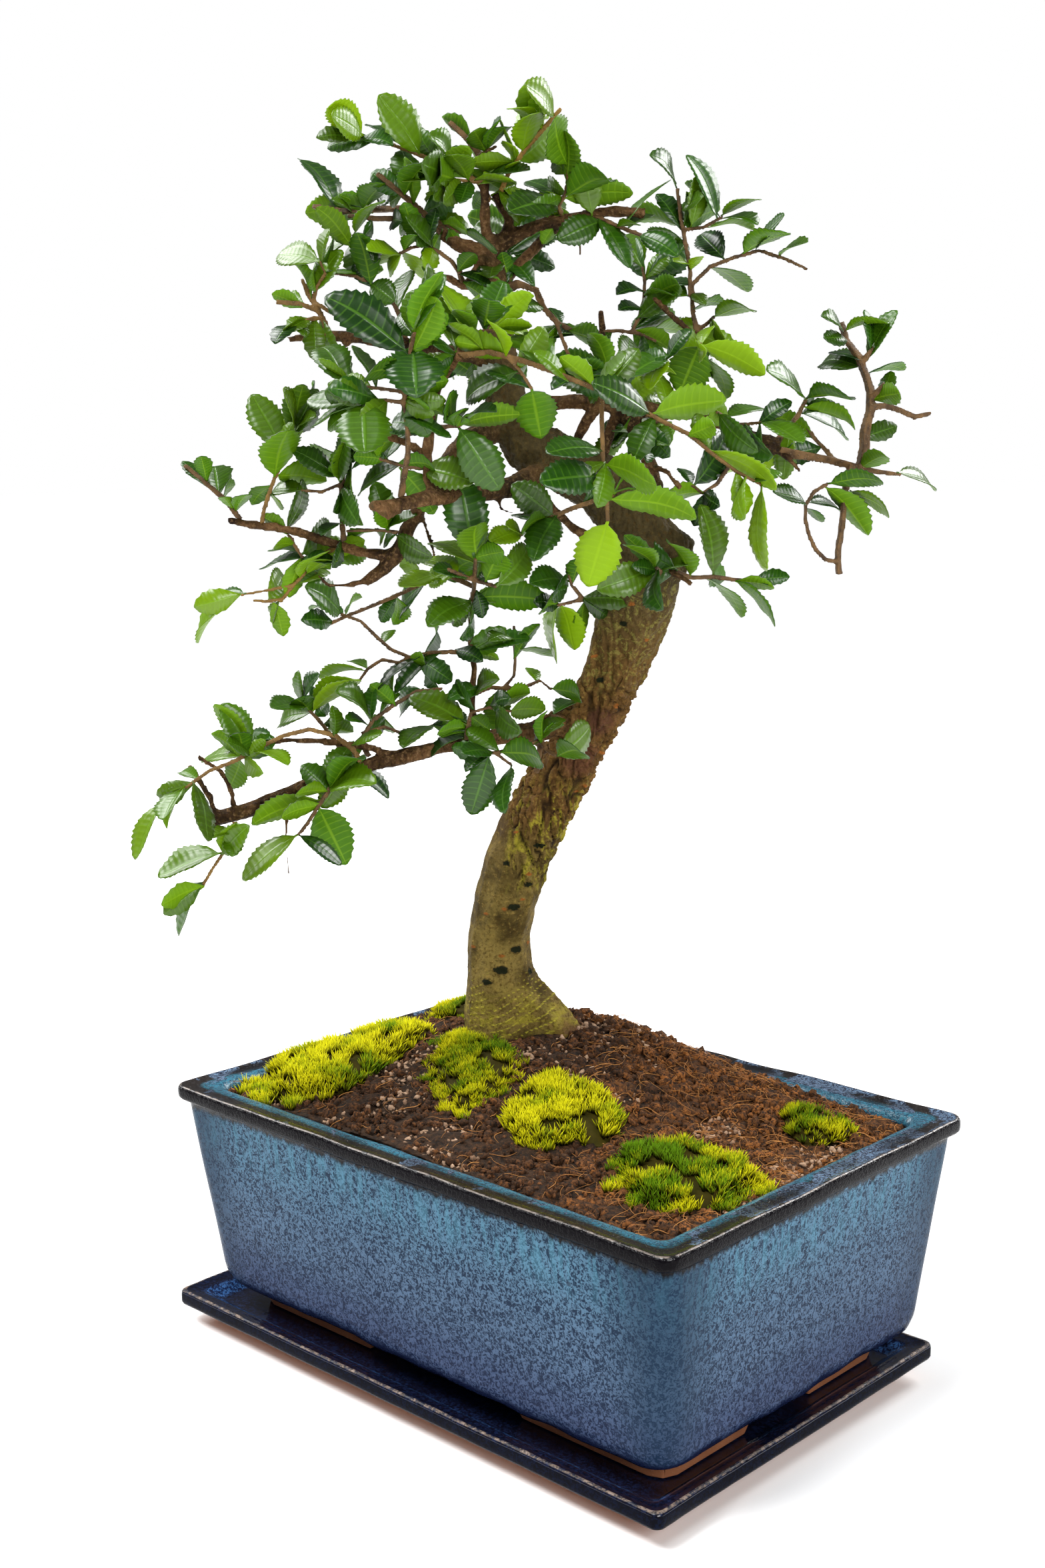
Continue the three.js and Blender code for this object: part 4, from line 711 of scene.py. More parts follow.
def grow_leaf(shape, leaf, chance, youth):
    """Adds one bent leaf to a spray's bmesh, with its tone and youth on its points."""
    leaf.update(
        fold=chance.uniform(0.05, 0.4), cup=chance.uniform(-0.6, 1.4), wave=chance.uniform(0, 0.03),
        phase=chance.random(), curl=chance.uniform(-0.12, 0.16),
    )
    tone = chance.random()
    small = leaf["length"] < small_leaf
    leaf["rows"] = bud_teeth if small else 2 * teeth
    for v in add_copy(shape, bud_sheet if small else leaf_sheet):
        v.co = bent_point(v.co, leaf)
        v[shape.verts.layers.float["tone"]] = tone
        v[shape.verts.layers.float["youth"]] = youth


leaf_sheet = flat_leaf(2 * teeth, 4)
bud_sheet = flat_leaf(bud_teeth, 2)
print(len(leaf_sheet.polygons), "faces a large leaf,", len(bud_sheet.polygons), "a small one")

# %% [markdown]
# ## The sprays
#
# The bare twigs are plumped a little and given an even skin, so that three-sided sticks
# become round and their joints flow together. The leaves read from the solid, the listed
# small leaves and those grown by the rule are added to the same piece, which stands for
# the spray's solid. Some leaves in the photograph are young and yellow. Their places are
# listed, and a leaf seen near one of them turns yellow too.

# %% Growing every spray
twig_voxel = 0.5 * mm
bud_spacing = 8 * mm
dense_spacing = 5 * mm
sparse_spacing = 14 * mm
dense_sprays = (
    "spray_crown_core", "spray_center", "spray_front_fan", "spray_front_mid", "spray_mid_right",
    "spray_far_middle", "spray_far_left", "spray_far_top", "spray_top_inner", "spray_front_low",
)
sparse_sprays = (
    "spray_right_outer", "spray_right_twig", "spray_right_low", "spray_right_up", "spray_right_mid",
    "spray_knee", "spray_low_tip", "spray_low_hang", "spray_left_stem", "spray_thread", "spray_left_tip",
)
fresh_sprays = {
    "spray_top_yellow": 0.75, "spray_front_long": 0.25, "spray_low_tip": 0.45, "spray_low_stem": 0.35,
    "spray_left_low": 0.5, "spray_mid_yellow": 0.2, "spray_left_stem": 0.4, "spray_upleft_end": 0.3,
    "spray_top_left": 0.35, "spray_low_hang": 0.15, "spray_crown_core": 0.3, "spray_top_mid": 0.2,
}
yellow_leaves = [
    (522, 177), (787, 190), (575, 376), (1040, 394), (620, 402), (672, 445), (767, 496), (1105, 537),
    (1055, 508), (988, 577), (445, 582), (894, 829), (1158, 792), (1129, 745), (1124, 692), (326, 929),
    (633, 871), (667, 821), (756, 811), (830, 960), (405, 1286), (221, 1249), (510, 1031), (384, 1152),
    (308, 1322),
]
yellow_reach = 30
usual_freshness = 0.08
youth_spread = 0.12
plumping = 0.12 * mm


def leaf_youth(leaf, freshness, chance):
    """How yellow a leaf is, from 0 to 1: well on towards 1 near a listed place."""
    right, down = seen_at(leaf["foot"] + leaf["axis"] * leaf["length"] / 2)[:2]
    if any(math.hypot(right - x, down - y) < yellow_reach for x, y in yellow_leaves):
        return chance.uniform(0.4, 0.7)
    return min(1.0, max(0.0, chance.gauss(0.5 * freshness, youth_spread)))


def dress_spray(node):
    """Makes the fine piece of one spray and gives the number of its leaves."""
    chance = random.Random(node)
    freshness = fresh_sprays.get(node, usual_freshness)
    bare = spray_twigs[node]
    places = [edge.verts[0].co.lerp(edge.verts[1].co, t) for edge in bare.edges for t in (0.2, 0.5, 0.8)]
    middle = sum(places, Vector()) / len(places)
    low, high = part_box(node)
    leaves = list(spray_blades[node])
    leaves += [read_small_leaf(places, reading, chance) for reading in small_leaves.get(node, ())]
    run = (high - low).length
    spacing = bud_spacing
    if node in dense_sprays:
        spacing = dense_spacing
    elif node in sparse_sprays:
        spacing = sparse_spacing
    leaves += [bud_leaf(places, middle, chance) for _ in range(round(run / spacing))]
    fatten(bare, plumping)
    shape = remeshed(bare, twig_voxel)
    fatten(shape, lambda v: plumping * noise.noise(v.co * 600))
    youth = add_labels(shape, "tone", "youth")[1]
    shape.loops.layers.uv.new("blade")
    for v in shape.verts:
        v[youth] = freshness
    for face in shape.faces:
        face.material_index = 2
    for leaf in leaves:
        grow_leaf(shape, leaf, chance, leaf_youth(leaf, freshness, chance))
    piece("dressed_" + node, shape, [leaf_top, leaf_under, twig_bark], "foliage", node)
    return len(leaves)


leaf_count = sum(dress_spray(node) for node in sprays)
print(leaf_count, "leaves,", sum(triangles), "triangles in the sprays")

# %% [markdown]
# ## The trunk and its limbs
#
# The trunk is smooth and olive brown below, with rings around its foot, dark oval scars
# where twigs were cut, and small orange pores. Higher up, where the low limb leaves it,
# the bark is furrowed and purple brown. The scars, knots and pores that the photograph
# shows are listed by pixel. More scars and pores are strewn round the back, which it
# doesn't show.

# %% Scars and pores in the bark
wood_voxel = 0.82 * mm
scar_readings = [
    (771, 1360, 3.0), (774, 1424, 3.1), (752, 1455, 3.5), (795, 1457, 2.5), (731, 1473, 2.5),
    (760, 1295, 2.0), (794, 1328, 2.4), (810, 1268, 2.6), (900, 1020, 2.5), (935, 935, 2.2),
]
knot_readings = [(858, 1560, 13), (872, 1142, 12), (905, 1085, 9)]
pore_size = 1.8
back_marks = 46
pore_readings = [
    (753, 1434), (729, 1371), (756, 1364), (784, 1349), (774, 1248), (793, 1414), (710, 1420), (794, 1311),
    (880, 1180), (905, 1130), (868, 1190), (925, 1060), (948, 905), (890, 985), (972, 960),
]


def read_marks(tree, readings):
    """Marks as (place, size), where the camera sees them on a mesh."""
    marks = []
    for right, down, size in readings:
        hit = tree.ray_cast(camera_place, sight_line(right, down))[0]
        if hit:
            marks.append((hit, size * mm))
    return marks


def marks_on(tree):
    """Scars and pores, read from the photograph and strewn round the back."""
    chance = random.Random("marks")
    scars = read_marks(tree, scar_readings)
    pores = read_marks(tree, [(right, down, pore_size) for right, down in pore_readings])
    for _ in range(back_marks):
        start = Vector((chance.uniform(-0.12, -0.02), chance.uniform(0.15, 0.3), chance.uniform(0.12, 0.31)))
        aim = Vector((chance.uniform(-0.02, 0.06), chance.uniform(-0.03, 0.04), start.z))
        hit = tree.ray_cast(start, (aim - start).normalized())[0]
        if hit:
            (scars if chance.random() < 0.2 else pores).append((hit, chance.uniform(1.0, 1.9) * mm))
    return scars, pores


def closeness(point, marks, flatness):
    """How near a point is to a flattened mark, from 0 outside to 1 at its middle."""
    best = 0.0
    for place, size in marks:
        out = point - place
        if abs(out.z) > 3 * size or abs(out.x) > 3 * size:
            continue
        reach = math.sqrt(out.x ** 2 + out.y ** 2 + (out.z * flatness) ** 2) / size
        best = max(best, 1 - reach)
    return best


print(len(scar_readings), "scars,", len(knot_readings), "knots and", len(pore_readings), "pores listed")

# %% [markdown]
# ## Bark
#
# The trunk's solid gets an even skin, whose points are moved out and in by noise. Each
# point also carries numbers that its colour follows: its girth, how rugged the bark is,
# and how far it belongs to a furrow, a ring, a knot, a scar or a pore.

# %% Bark
thin_limb = 5 * mm
limb_plumping = 0.3 * mm
twig_girth = 3 * mm
trunk_girth = 16 * mm
scar_rim = 0.7 * mm
pore_height = 0.35 * mm


def smooth_step(value, start, end):
    """Runs smoothly from 0 at start to 1 at end."""
    t = min(1.0, max(0.0, (value - start) / (end - start)))
    return t * t * (3 - 2 * t)


def ruggedness(point):
    """How rugged the bark is: the knee of the trunk is, save on its left, and all above it."""
    x, y, z = point / mm
    across = 0.72 * x + 0.69 * y + 4 * noise.noise(point * 90)
    knee = smooth_step(z, 160, 176) * smooth_step(across, -19, -14)
    above = smooth_step(z, 198, 215)
    return max(knee, above) * (1 - 0.6 * smooth_step(z, 228, 265))


def furrow_depth(point, rugged):
    """How deep a point lies in a crack of the rugged bark, from 0 to 1."""
    x, y, z = point / mm
    bent = Vector((x * 0.24, y * 0.24, z * 0.045)) + 0.35 * noise.noise_vector(point * 80)
    crack = 1 - abs(noise.noise(bent)) / 0.2
    fine = 1 - abs(noise.noise(bent * 2.3)) / 0.28
    level = Vector((x * 0.1, y * 0.1, z * 0.35)) + 0.5 * noise.noise_vector(point * 120)
    cross = 1 - abs(noise.noise(level)) / 0.14
    return rugged * max(0.0, crack, 0.7 * fine, 0.45 * cross)


def ring_height(point):
    """The narrow steps that lie round the foot of the trunk, from 0 to 1."""
    x, y, z = point / mm
    zone = (1 - smooth_step(z, 128, 146)) * smooth_step(noise.noise(point * 110), -0.5, -0.1)
    slant = z - 0.3 * (x + y) + 4.0 * noise.noise(point * 50)
    return zone * max(0.0, math.sin(slant * 2 * math.pi / 2.8) - 0.6) / 0.4


def bark_relief(point, girth, rugged, furrow, ring):
    """How far the bark stands out at a point, in metres."""
    lumps = noise.noise(point * 45) * 1.2
    flakes = noise.turbulence(point * 260, 3, False) - 0.5
    thick = girth * (lumps + 0.5 * rugged - 2.0 * furrow + 0.3 * ring)
    thin = (1 - girth) * 0.5 * noise.noise(point * 190)
    return (thick + thin + (0.12 + 0.75 * (0.1 + 0.9 * rugged) * girth) * flakes) * mm


def dress_wood():
    """The trunk and limbs with their bark's relief, and the numbers that its colour follows."""
    shape = joined_copy("tree_wood")
    solid = BVHTree.FromBMesh(shape)
    scars, pores = marks_on(solid)

    def depth_behind(tree, v):
        hit = tree.ray_cast(v.co - v.normal * 0.05 * mm, -v.normal)
        return hit[3] if hit[0] else 0.0

    fatten(shape, lambda v: limb_plumping if depth_behind(solid, v) < thin_limb else 0.0)
    shape = remeshed(shape, wood_voxel)
    bmesh.ops.smooth_vert(
        shape, verts=shape.verts, factor=0.5, use_axis_x=True, use_axis_y=True, use_axis_z=True,
    )
    skin = BVHTree.FromBMesh(shape)
    shape.normal_update()
    girth, scar, pore, rugged, furrow, ring, knot = add_labels(
        shape, "girth", "scar", "pore", "rugged", "furrow", "ring", "knot",
    )
    knots = read_marks(solid, knot_readings)
    for v in shape.verts:
        v[girth] = smooth_step(depth_behind(skin, v), twig_girth, trunk_girth)
        v[scar] = closeness(v.co, scars, 1.9)
        v[pore] = closeness(v.co, pores, 2.4)
        v[rugged] = ruggedness(v.co)
        v[furrow] = furrow_depth(v.co, v[rugged])
        v[ring] = ring_height(v.co)
        v[knot] = closeness(v.co, knots, 1)

    def relief(v):
        rim = scar_rim * math.sin(math.pi * min(1, v[scar] * 1.6)) if v[scar] > 0 else 0
        bark = bark_relief(v.co, v[girth], v[rugged], v[furrow], v[ring])
        return bark + rim + pore_height * v[pore]

    fatten(shape, relief)
    return shape


def bark_finish():
    finish = Finish("elm_bark")
    girth = finish.label("girth")
    rugged = finish.label("rugged")
    furrow = finish.label("furrow")
    height = finish.z
    patch = finish.cloud(14, detail=4)
    grain = finish.cloud(1.5, detail=5, roughness=0.65)
    weave = finish.cloud(5, detail=4, distortion=0.8)
    streak = finish.cloud(3, detail=4, stretch=(1, 1, 0.3), distortion=0.6)
    olive = finish.blend(finish.fade(patch, 0.32, 0.66), (0.05, 0.033, 0.008), (0.19, 0.135, 0.035))
    olive = finish.blend(finish.fade(height, 172, 200) * 0.6, olive, (0.07, 0.035, 0.01))
    plum = finish.blend(weave, (0.03, 0.014, 0.005), (0.21, 0.105, 0.028))
    crown = finish.blend(weave, (0.014, 0.01, 0.004), (0.095, 0.07, 0.027))
    trunk = finish.blend(rugged * finish.fade(height + 25 * patch, 195, 215), olive, plum)
    trunk = finish.blend(finish.fade(height, 250, 285), trunk, crown)
    knee = rugged * finish.fade(height + 20 * patch, 226, 205)
    trunk = finish.blend(finish.fade(streak, 0.48, 0.62) * knee * 0.65, trunk, (0.36, 0.32, 0.025))
    band = finish.cloud(3, detail=4, stretch=(0.35, 0.35, 1), distortion=0.4)
    foot = finish.fade(height, 136, 112) * finish.fade(patch, 0.3, 0.6)
    trunk = finish.blend(finish.fade(band, 0.45, 0.58) * foot * 0.6, trunk, (0.34, 0.3, 0.02))
    high_lichen = finish.fade(height + 30 * patch, 250, 268) * finish.fade(height + 30 * patch, 312, 290)
    fleck = finish.fade(finish.cloud(2.4, detail=5, roughness=0.7, distortion=0.8), 0.5, 0.6)
    trunk = finish.blend(fleck * high_lichen * 0.6, trunk, (0.22, 0.2, 0.045))
    gold = 0.45 * finish.fade(height, 270, 240) + 0.15
    trunk = finish.blend(finish.fade(grain, 0.52, 0.7) * gold, trunk, (0.3, 0.2, 0.05))
    trunk = finish.blend(finish.fade(grain, 0.45, 0.32) * 0.6, trunk, (0.02, 0.012, 0.003))
    # The cracks are painted near black: partly the darker bark deep in them and partly painted shade in the
    # cracks.
    trunk = finish.blend(finish.fade(furrow, 0.35, 0.9) * 0.9, trunk, (0.01, 0.005, 0.002))
    trunk = finish.blend(finish.fade(finish.label("ring"), 0.3, 0.9) * 0.7, trunk, (0.45, 0.4, 0.04))
    knot = finish.fade(finish.label("knot") + 0.3 * weave, 0.35, 0.75)
    trunk = finish.blend(knot * 0.7, trunk, finish.blend(weave, (0.03, 0.011, 0.007), (0.16, 0.065, 0.035)))
    limb = finish.blend(finish.fade(patch, 0.35, 0.65), (0.02, 0.01, 0.005), (0.13, 0.066, 0.027))
    limb = finish.blend(finish.fade(grain, 0.5, 0.68) * 0.6, limb, (0.25, 0.15, 0.07))
    limb = finish.blend(finish.fade(grain, 0.46, 0.34) * 0.7, limb, (0.012, 0.006, 0.003))
    colour = finish.blend(girth, limb, trunk)
    ragged = 0.9 * finish.cloud(1.3, detail=3) - 0.45
    colour = finish.blend(finish.fade(finish.label("pore") + ragged, 0.1, 0.45), colour, (0.24, 0.08, 0.015))
    scar = finish.label("scar") + ragged
    colour = finish.blend(finish.fade(scar, 0.0, 0.15) * 0.6, colour, (0.06, 0.035, 0.008))
    colour = finish.blend(finish.fade(scar, 0.15, 0.35), colour, (0.01, 0.012, 0.004))
    relief = grain + weave * 0.6 - furrow * 1.5
    return finish.surface(colour, 0.55 + 0.3 * grain, relief, relief_mm=0.9, Specular_IOR_Level=0.08)


piece("trunk_and_limbs", dress_wood(), [bark_finish()], "bark", "tree_wood")
print("trunk and limbs:", triangles[-1], "triangles")

# %% [markdown]
# ## Soil
#
# Potting soil is a dark crumb with fibres of coir and a few pale grains. The top of the
# solid is cut finer and roughened, and crumbs, grains and fibres are strewn over it.
# Each crumb is one small lumpy ball of twenty faces, bent and turned by chance.

# %% The ground, and what is strewn on it
def ray_down(tree, x, y):
    """The point and slope where a plumb line meets a mesh, or None."""
    point, slope = tree.ray_cast(Vector((x, y, 0.2)), Vector((0, 0, -1)))[:2]
    return (point, slope) if point else None


def solid_tree(node):
    """A search tree of a solid's faces, for casting rays."""
    shape = joined_copy(node)
    tree = BVHTree.FromBMesh(shape)
    shape.free()
    return tree


soil_top = 84
ground = solid_tree("soil")
cushion_trees = {node: solid_tree(node) for node in cushions}
wood_tree = solid_tree("tree_wood")
soil_low, soil_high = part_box("soil")


def bare_ground(chance):
    """A chance place on the soil that no moss covers."""
    while True:
        x = chance.uniform(soil_low.x + 1 * mm, soil_high.x - 1 * mm)
        y = chance.uniform(soil_low.y + 1 * mm, soil_high.y - 1 * mm)
        found = ray_down(ground, x, y)
        if found and found[0].z > 0.08 and not any(ray_down(t, x, y) for t in cushion_trees.values()):
            return found


def ground_relief(v):
    """How far the soil stands out at a point of its top. Below that it stays plain."""
    if (v.co / mm).z < soil_top:
        return 0.0
    coarse = 1.6 * noise.noise(v.co * 110) + 1.4 * noise.noise(v.co * 330)
    return (coarse + 0.6 * noise.noise(v.co * 900)) * mm


def dress_soil():
    """The soil with its top cut finer and roughened."""
    shape = joined_copy("soil")
    shape.normal_update()
    top = [f for f in shape.faces if f.normal.z > 0.3 and f.calc_center_median().z > 0.08]
    edges = {edge for face in top for edge in face.edges}
    bmesh.ops.subdivide_edges(shape, edges=list(edges), cuts=9, use_grid_fill=True)
    bmesh.ops.triangulate(shape, faces=shape.faces)
    fatten(shape, ground_relief)
    add_labels(shape, "tone")
    return shape


def lump():
    """A ball of twenty faces, one unit in radius."""
    shape = bmesh.new()
    bmesh.ops.create_icosphere(shape, subdivisions=1, radius=1)
    return mesh_of("lump", shape)


def strew(shape, place, turn, scale, tone, chance):
    """Adds one bent crumb to a bmesh."""
    label = shape.verts.layers.float["tone"]
    for v in add_copy(shape, crumb):
        bent = v.co * (1 + chance.uniform(-crumb_bend, crumb_bend))
        v.co = place + turn @ Vector((bent.x * scale[0], bent.y * scale[1], bent.z * scale[2]))
        v[label] = tone


def chance_turn(chance):
    """A turn by any angle about any axis."""
    axis = Vector((chance.gauss(0, 1), chance.gauss(0, 1), chance.gauss(0, 1))).normalized()
    return Matrix.Rotation(chance.uniform(0, 2 * math.pi), 3, axis)


trunk_foot = Vector((-13, 20, 0)) * mm
clump_count = 900
clump_reach = 0.06
crumb_count = 6400
crumb_bend = 0.4
fibre_count = 1100
crumb = lump()


def strew_crumbs():
    """Large clumps round the foot of the trunk, then crumbs and pale grains everywhere."""
    chance = random.Random("crumbs")
    shape = bmesh.new()
    add_labels(shape, "tone")
    for _ in range(clump_count):
        place = bare_ground(chance)[0]
        from_trunk = Vector((place.x - trunk_foot.x, place.y - trunk_foot.y)).length
        if chance.random() > smooth_step(-from_trunk, -clump_reach, 0):
            continue
        size = chance.uniform(1.6, 3.2) * mm
        scale = [size * chance.uniform(0.6, 1.2) for _ in range(3)]
        turn = chance_turn(chance)
        strew(shape, place, turn, scale, chance.uniform(0, 0.3), chance)
    for _ in range(crumb_count):
        place, slope = bare_ground(chance)
        pale_patch = noise.noise(place * 45) + (0.12 if place.x < 0.02 else -0.05)
        pale = chance.random() < smooth_step(pale_patch, 0.05, 0.45) * 0.8
        size = chance.choice((0.4, 0.5, 0.6, 0.8, 1.0) if pale else (0.5, 0.6, 0.8, 1.0, 1.3, 1.8)) * mm
        scale = [size * chance.uniform(0.5, 1.4) for _ in range(3)]
        tone = chance.uniform(0.68, 1) if pale else chance.uniform(0, 0.6)
        strew(shape, place + slope * size * 0.3, chance_turn(chance), scale, tone, chance)
    return shape


def flat_strand():
    """A thin three-sided rod one unit long, cut into eight lengths."""
    shape = bmesh.new()
    bmesh.ops.create_cone(shape, cap_ends=True, segments=3, radius1=1, radius2=1, depth=1)
    uprights = [edge for edge in shape.edges if abs(edge.verts[0].co.z - edge.verts[1].co.z) > 0.5]
    bmesh.ops.subdivide_edges(shape, edges=uprights, cuts=7)
    return mesh_of("strand", shape)


def lay_fibres():
    """Bowed fibres that lie along the soil, fewer of them on the left of the photograph."""
    chance = random.Random("fibres")
    shape = bmesh.new()
    label = add_labels(shape, "tone")[0]
    strand = flat_strand()
    for _ in range(fibre_count):
        place, slope = bare_ground(chance)
        if place.x + place.y < 0.02 and chance.random() < 0.7:
            continue
        length = chance.uniform(4, 15) * mm
        radius = chance.uniform(0.06, 0.14) * mm
        heading = Matrix.Rotation(chance.uniform(0, 2 * math.pi), 3, "Z") @ Vector((1, 0, 0))
        heading = (heading - slope * heading.dot(slope)).normalized()
        aside = slope.cross(heading)
        bow = chance.uniform(-0.35, 0.35) * length
        hump = chance.uniform(0.0, 0.22) * length
        tone = chance.uniform(0.3, 1)
        for v in add_copy(shape, strand):
            t = v.co.z + 0.5
            arch = math.sin(math.pi * t)
            thin = radius * (0.5 + 0.5 * arch)
            across = aside * (v.co.x * thin + bow * arch + 0.08 * length * math.sin(7 * t))
            lift = slope * (v.co.y * thin + hump * arch + 0.5 * mm)
            v.co = place + heading * ((t - 0.5) * length) + across + lift
            v[label] = tone
    return shape


def soil_finish(name, dark, light, relief_mm, crumb_size):
    finish = Finish(name)
    tone = finish.label("tone")
    grain = finish.cloud(crumb_size, detail=5, roughness=0.7)
    patch = finish.cloud(18, detail=3)
    colour = finish.blend(finish.fade(grain, 0.35, 0.68), dark, light)
    rusty = finish.fade(patch + 0.002 * (finish.x + finish.y), 0.45, 0.65)
    colour = finish.blend(rusty * finish.fade(grain, 0.4, 0.6) * 0.75, colour, (0.34, 0.12, 0.025))
    colour = finish.blend(finish.fade(tone, 0.45, 0.15) * 0.6, colour, (0.012, 0.007, 0.004))
    colour = finish.blend(finish.fade(tone, 0.62, 0.95), colour, (0.4, 0.26, 0.17))
    return finish.surface(colour, 0.8 + 0.15 * grain, grain, relief_mm=relief_mm, Specular_IOR_Level=0.2)


ground_finish = soil_finish("soil_ground", (0.006, 0.003, 0.002), (0.11, 0.05, 0.02), 1.6, 2.0)
crumb_finish = soil_finish("soil_crumb", (0.006, 0.003, 0.0017), (0.155, 0.06, 0.019), 0.6, 1.0)


def fibre_finish():
    finish = Finish("coir_fibre")
    shade = finish.label("tone") * 0.7 + finish.cloud(3) * 0.3
    colour = finish.blend(shade, (0.12, 0.035, 0.008), (0.55, 0.25, 0.07))
    return finish.surface(colour, 0.7 + 0.1 * finish.cloud(0.8), Specular_IOR_Level=0.2)


piece("soil_ground", dress_soil(), [ground_finish], "soil", "soil")
piece("soil_crumbs", strew_crumbs(), [crumb_finish], "soil")
piece("soil_fibres", lay_fibres(), [fibre_finish()], "soil")
print("soil:", sum(triangles[-3:]), "triangles")

# %% [markdown]
# ## Moss
#
# A moss cushion is a crowd of tiny upright shoots, bright at their tips and dark low down
# and between them, which is partly their own colour and partly painted shade. The solid,
# cut finer and roughened, stays as the dark core of the cushion, and a shoot, which is a
# tuft of seven spikes, is set on it and around its edge over and over.

# %% Moss cushions
moss_density = 0.6
fringe_reach = {
    "moss_left": 7 * mm, "moss_back": 3 * mm, "moss_middle": 5 * mm,
    "moss_front": 3 * mm, "moss_right": 5 * mm, "moss_small": 1 * mm,
}
moss_looks = {
    "moss_left": (0.75, 5.4), "moss_back": (0.7, 4.2), "moss_middle": (0.5, 4.0),
    "moss_front": (0.85, 5.2), "moss_right": (0.42, 5.0), "moss_small": (0.6, 4.4),
}


def moss_shoot():
    """Seven leaning spikes on one foot, one unit high."""
    chance = random.Random("shoot")
    shape = bmesh.new()
    for spike in range(7):
        lean = Matrix.Rotation(math.radians(chance.uniform(6, 34)) if spike else 0, 4, "X")
        round_it = Matrix.Rotation(spike * 2.4, 4, "Z")
        rise = chance.uniform(0.65, 1)
        bmesh.ops.create_cone(
            shape, cap_ends=True, segments=3, radius1=0.1, radius2=0.004, depth=rise,
            matrix=round_it @ lean @ Matrix.Translation((0, 0, rise / 2)),
        )
    return mesh_of("shoot", shape)


def on_fringe(tree, x, y, reach, lean):
    """A place on bare soil beside a cushion, where its ragged edge still grows."""
    found = ray_down(ground, x, y)
    if not found or found[0].z < 0.085 or ray_down(wood_tree, x, y):
        return None
    apart = tree.find_nearest(found[0] - lean)[3]
    ragged = 0.5 + 1.3 * noise.noise(found[0] * 160)
    return found if apart < reach * ragged else None


def dress_cushion(node, shoot):
    """A cushion with shoots all over it, bare in patches and ragged at its edge."""
    chance = random.Random(node)
    brightness, height = moss_looks[node]
    shape = joined_copy(node)
    bmesh.ops.subdivide_edges(shape, edges=shape.edges, cuts=3, use_grid_fill=True)
    bmesh.ops.triangulate(shape, faces=shape.faces)
    fatten(shape, lambda v: (0.7 * noise.noise(v.co * 260) - 0.3) * mm)
    tip, bright = add_labels(shape, "tip", "bright")
    for v in shape.verts:
        v[bright] = brightness
    tree = cushion_trees[node]
    low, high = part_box(node)
    reach = fringe_reach[node]
    lean_out = Vector((-5, -5, 0)) * mm if node == "moss_left" else Vector()
    low, high = low + lean_out - Vector((reach, reach, 0)), high + Vector((reach, reach, 0))
    tries = round((high.x - low.x) * (high.y - low.y) / mm ** 2 * moss_density)
    for _ in range(tries):
        x, y = chance.uniform(low.x, high.x), chance.uniform(low.y, high.y)
        found = ray_down(tree, x, y) or on_fringe(tree, x, y, reach, lean_out)
        if not found:
            continue
        place, slope = found
        if noise.noise(place * 130) < -0.22:
            continue
        lean = (slope * 0.5 + Vector((0, 0, 1))).normalized()
        turn = lean.to_track_quat("Z", "Y").to_matrix() @ Matrix.Rotation(chance.uniform(0, 6.3), 3, "Z")
        size = height * mm * chance.uniform(0.65, 1.15)
        shade = brightness + chance.uniform(-0.35, 0.35) + 0.9 * noise.noise(place * 75)
        for v in add_copy(shape, shoot):
            v[tip] = v.co.z
            v[bright] = shade
            v.co = place + turn @ (v.co * size) - lean * 0.8 * mm
    return shape


def moss_finish():
    finish = Finish("moss")
    tip = finish.label("tip")
    bright = finish.fade(finish.label("bright"), 0.0, 1.0)
    green = finish.blend(bright, (0.09, 0.2, 0.002), (0.66, 0.62, 0.006))
    # The core and the feet of the shoots are painted near black: partly the moss's darker colour low down
    # and partly painted shade deep in the cushion.
    core = finish.blend(finish.cloud(5), (0.006, 0.01, 0.001), (0.05, 0.035, 0.004))
    colour = finish.blend(finish.fade(tip, 0.15, 0.95), core, green)
    return finish.surface(colour, 0.6 + 0.15 * finish.cloud(1), Specular_IOR_Level=0.05)


moss_green = moss_finish()
shoot = moss_shoot()
for node in cushions:
    piece("dressed_" + node, dress_cushion(node, shoot), [moss_green], "moss", node)
print("moss:", sum(triangles[-len(cushions):]), "triangles")

# %% [markdown]
# ## Pot and saucer
#
# Each is thrown as one shape: a rounded rectangle that is drawn in, out and up through
# the rings of a profile. A ring is a circle's points laid round the rectangle, and each
# new ring is extruded from the last. The glaze is thick, so the rings wander a little:
# the lip is uneven, and a roll of glaze hangs at the foot of the wall.

# %% Rings
corner_steps = 8
long_steps = 44
short_steps = 30


def rounded_outline(half_x, half_y, corner):
    """Points round a rectangle with rounded corners, starting on the +X side."""
    points = []
    signs = ((1, 1), (-1, 1), (-1, -1), (1, -1))
    for quarter, (side_x, side_y) in enumerate(signs):
        middle = Vector((side_x * (half_x - corner), side_y * (half_y - corner)))
        for step in range(corner_steps + 1):
            angle = math.pi / 2 * (quarter + step / corner_steps)
            points.append(middle + corner * Vector((math.cos(angle), math.sin(angle))))
        next_x, next_y = signs[(quarter + 1) % 4]
        angle = math.pi / 2 * (quarter + 1)
        end = Vector((next_x * (half_x - corner), next_y * (half_y - corner)))
        end += corner * Vector((math.cos(angle), math.sin(angle)))
        start = points[-1]
        steps = long_steps if quarter % 2 == 0 else short_steps
        points += [start.lerp(end, step / steps) for step in range(1, steps)]
    return points


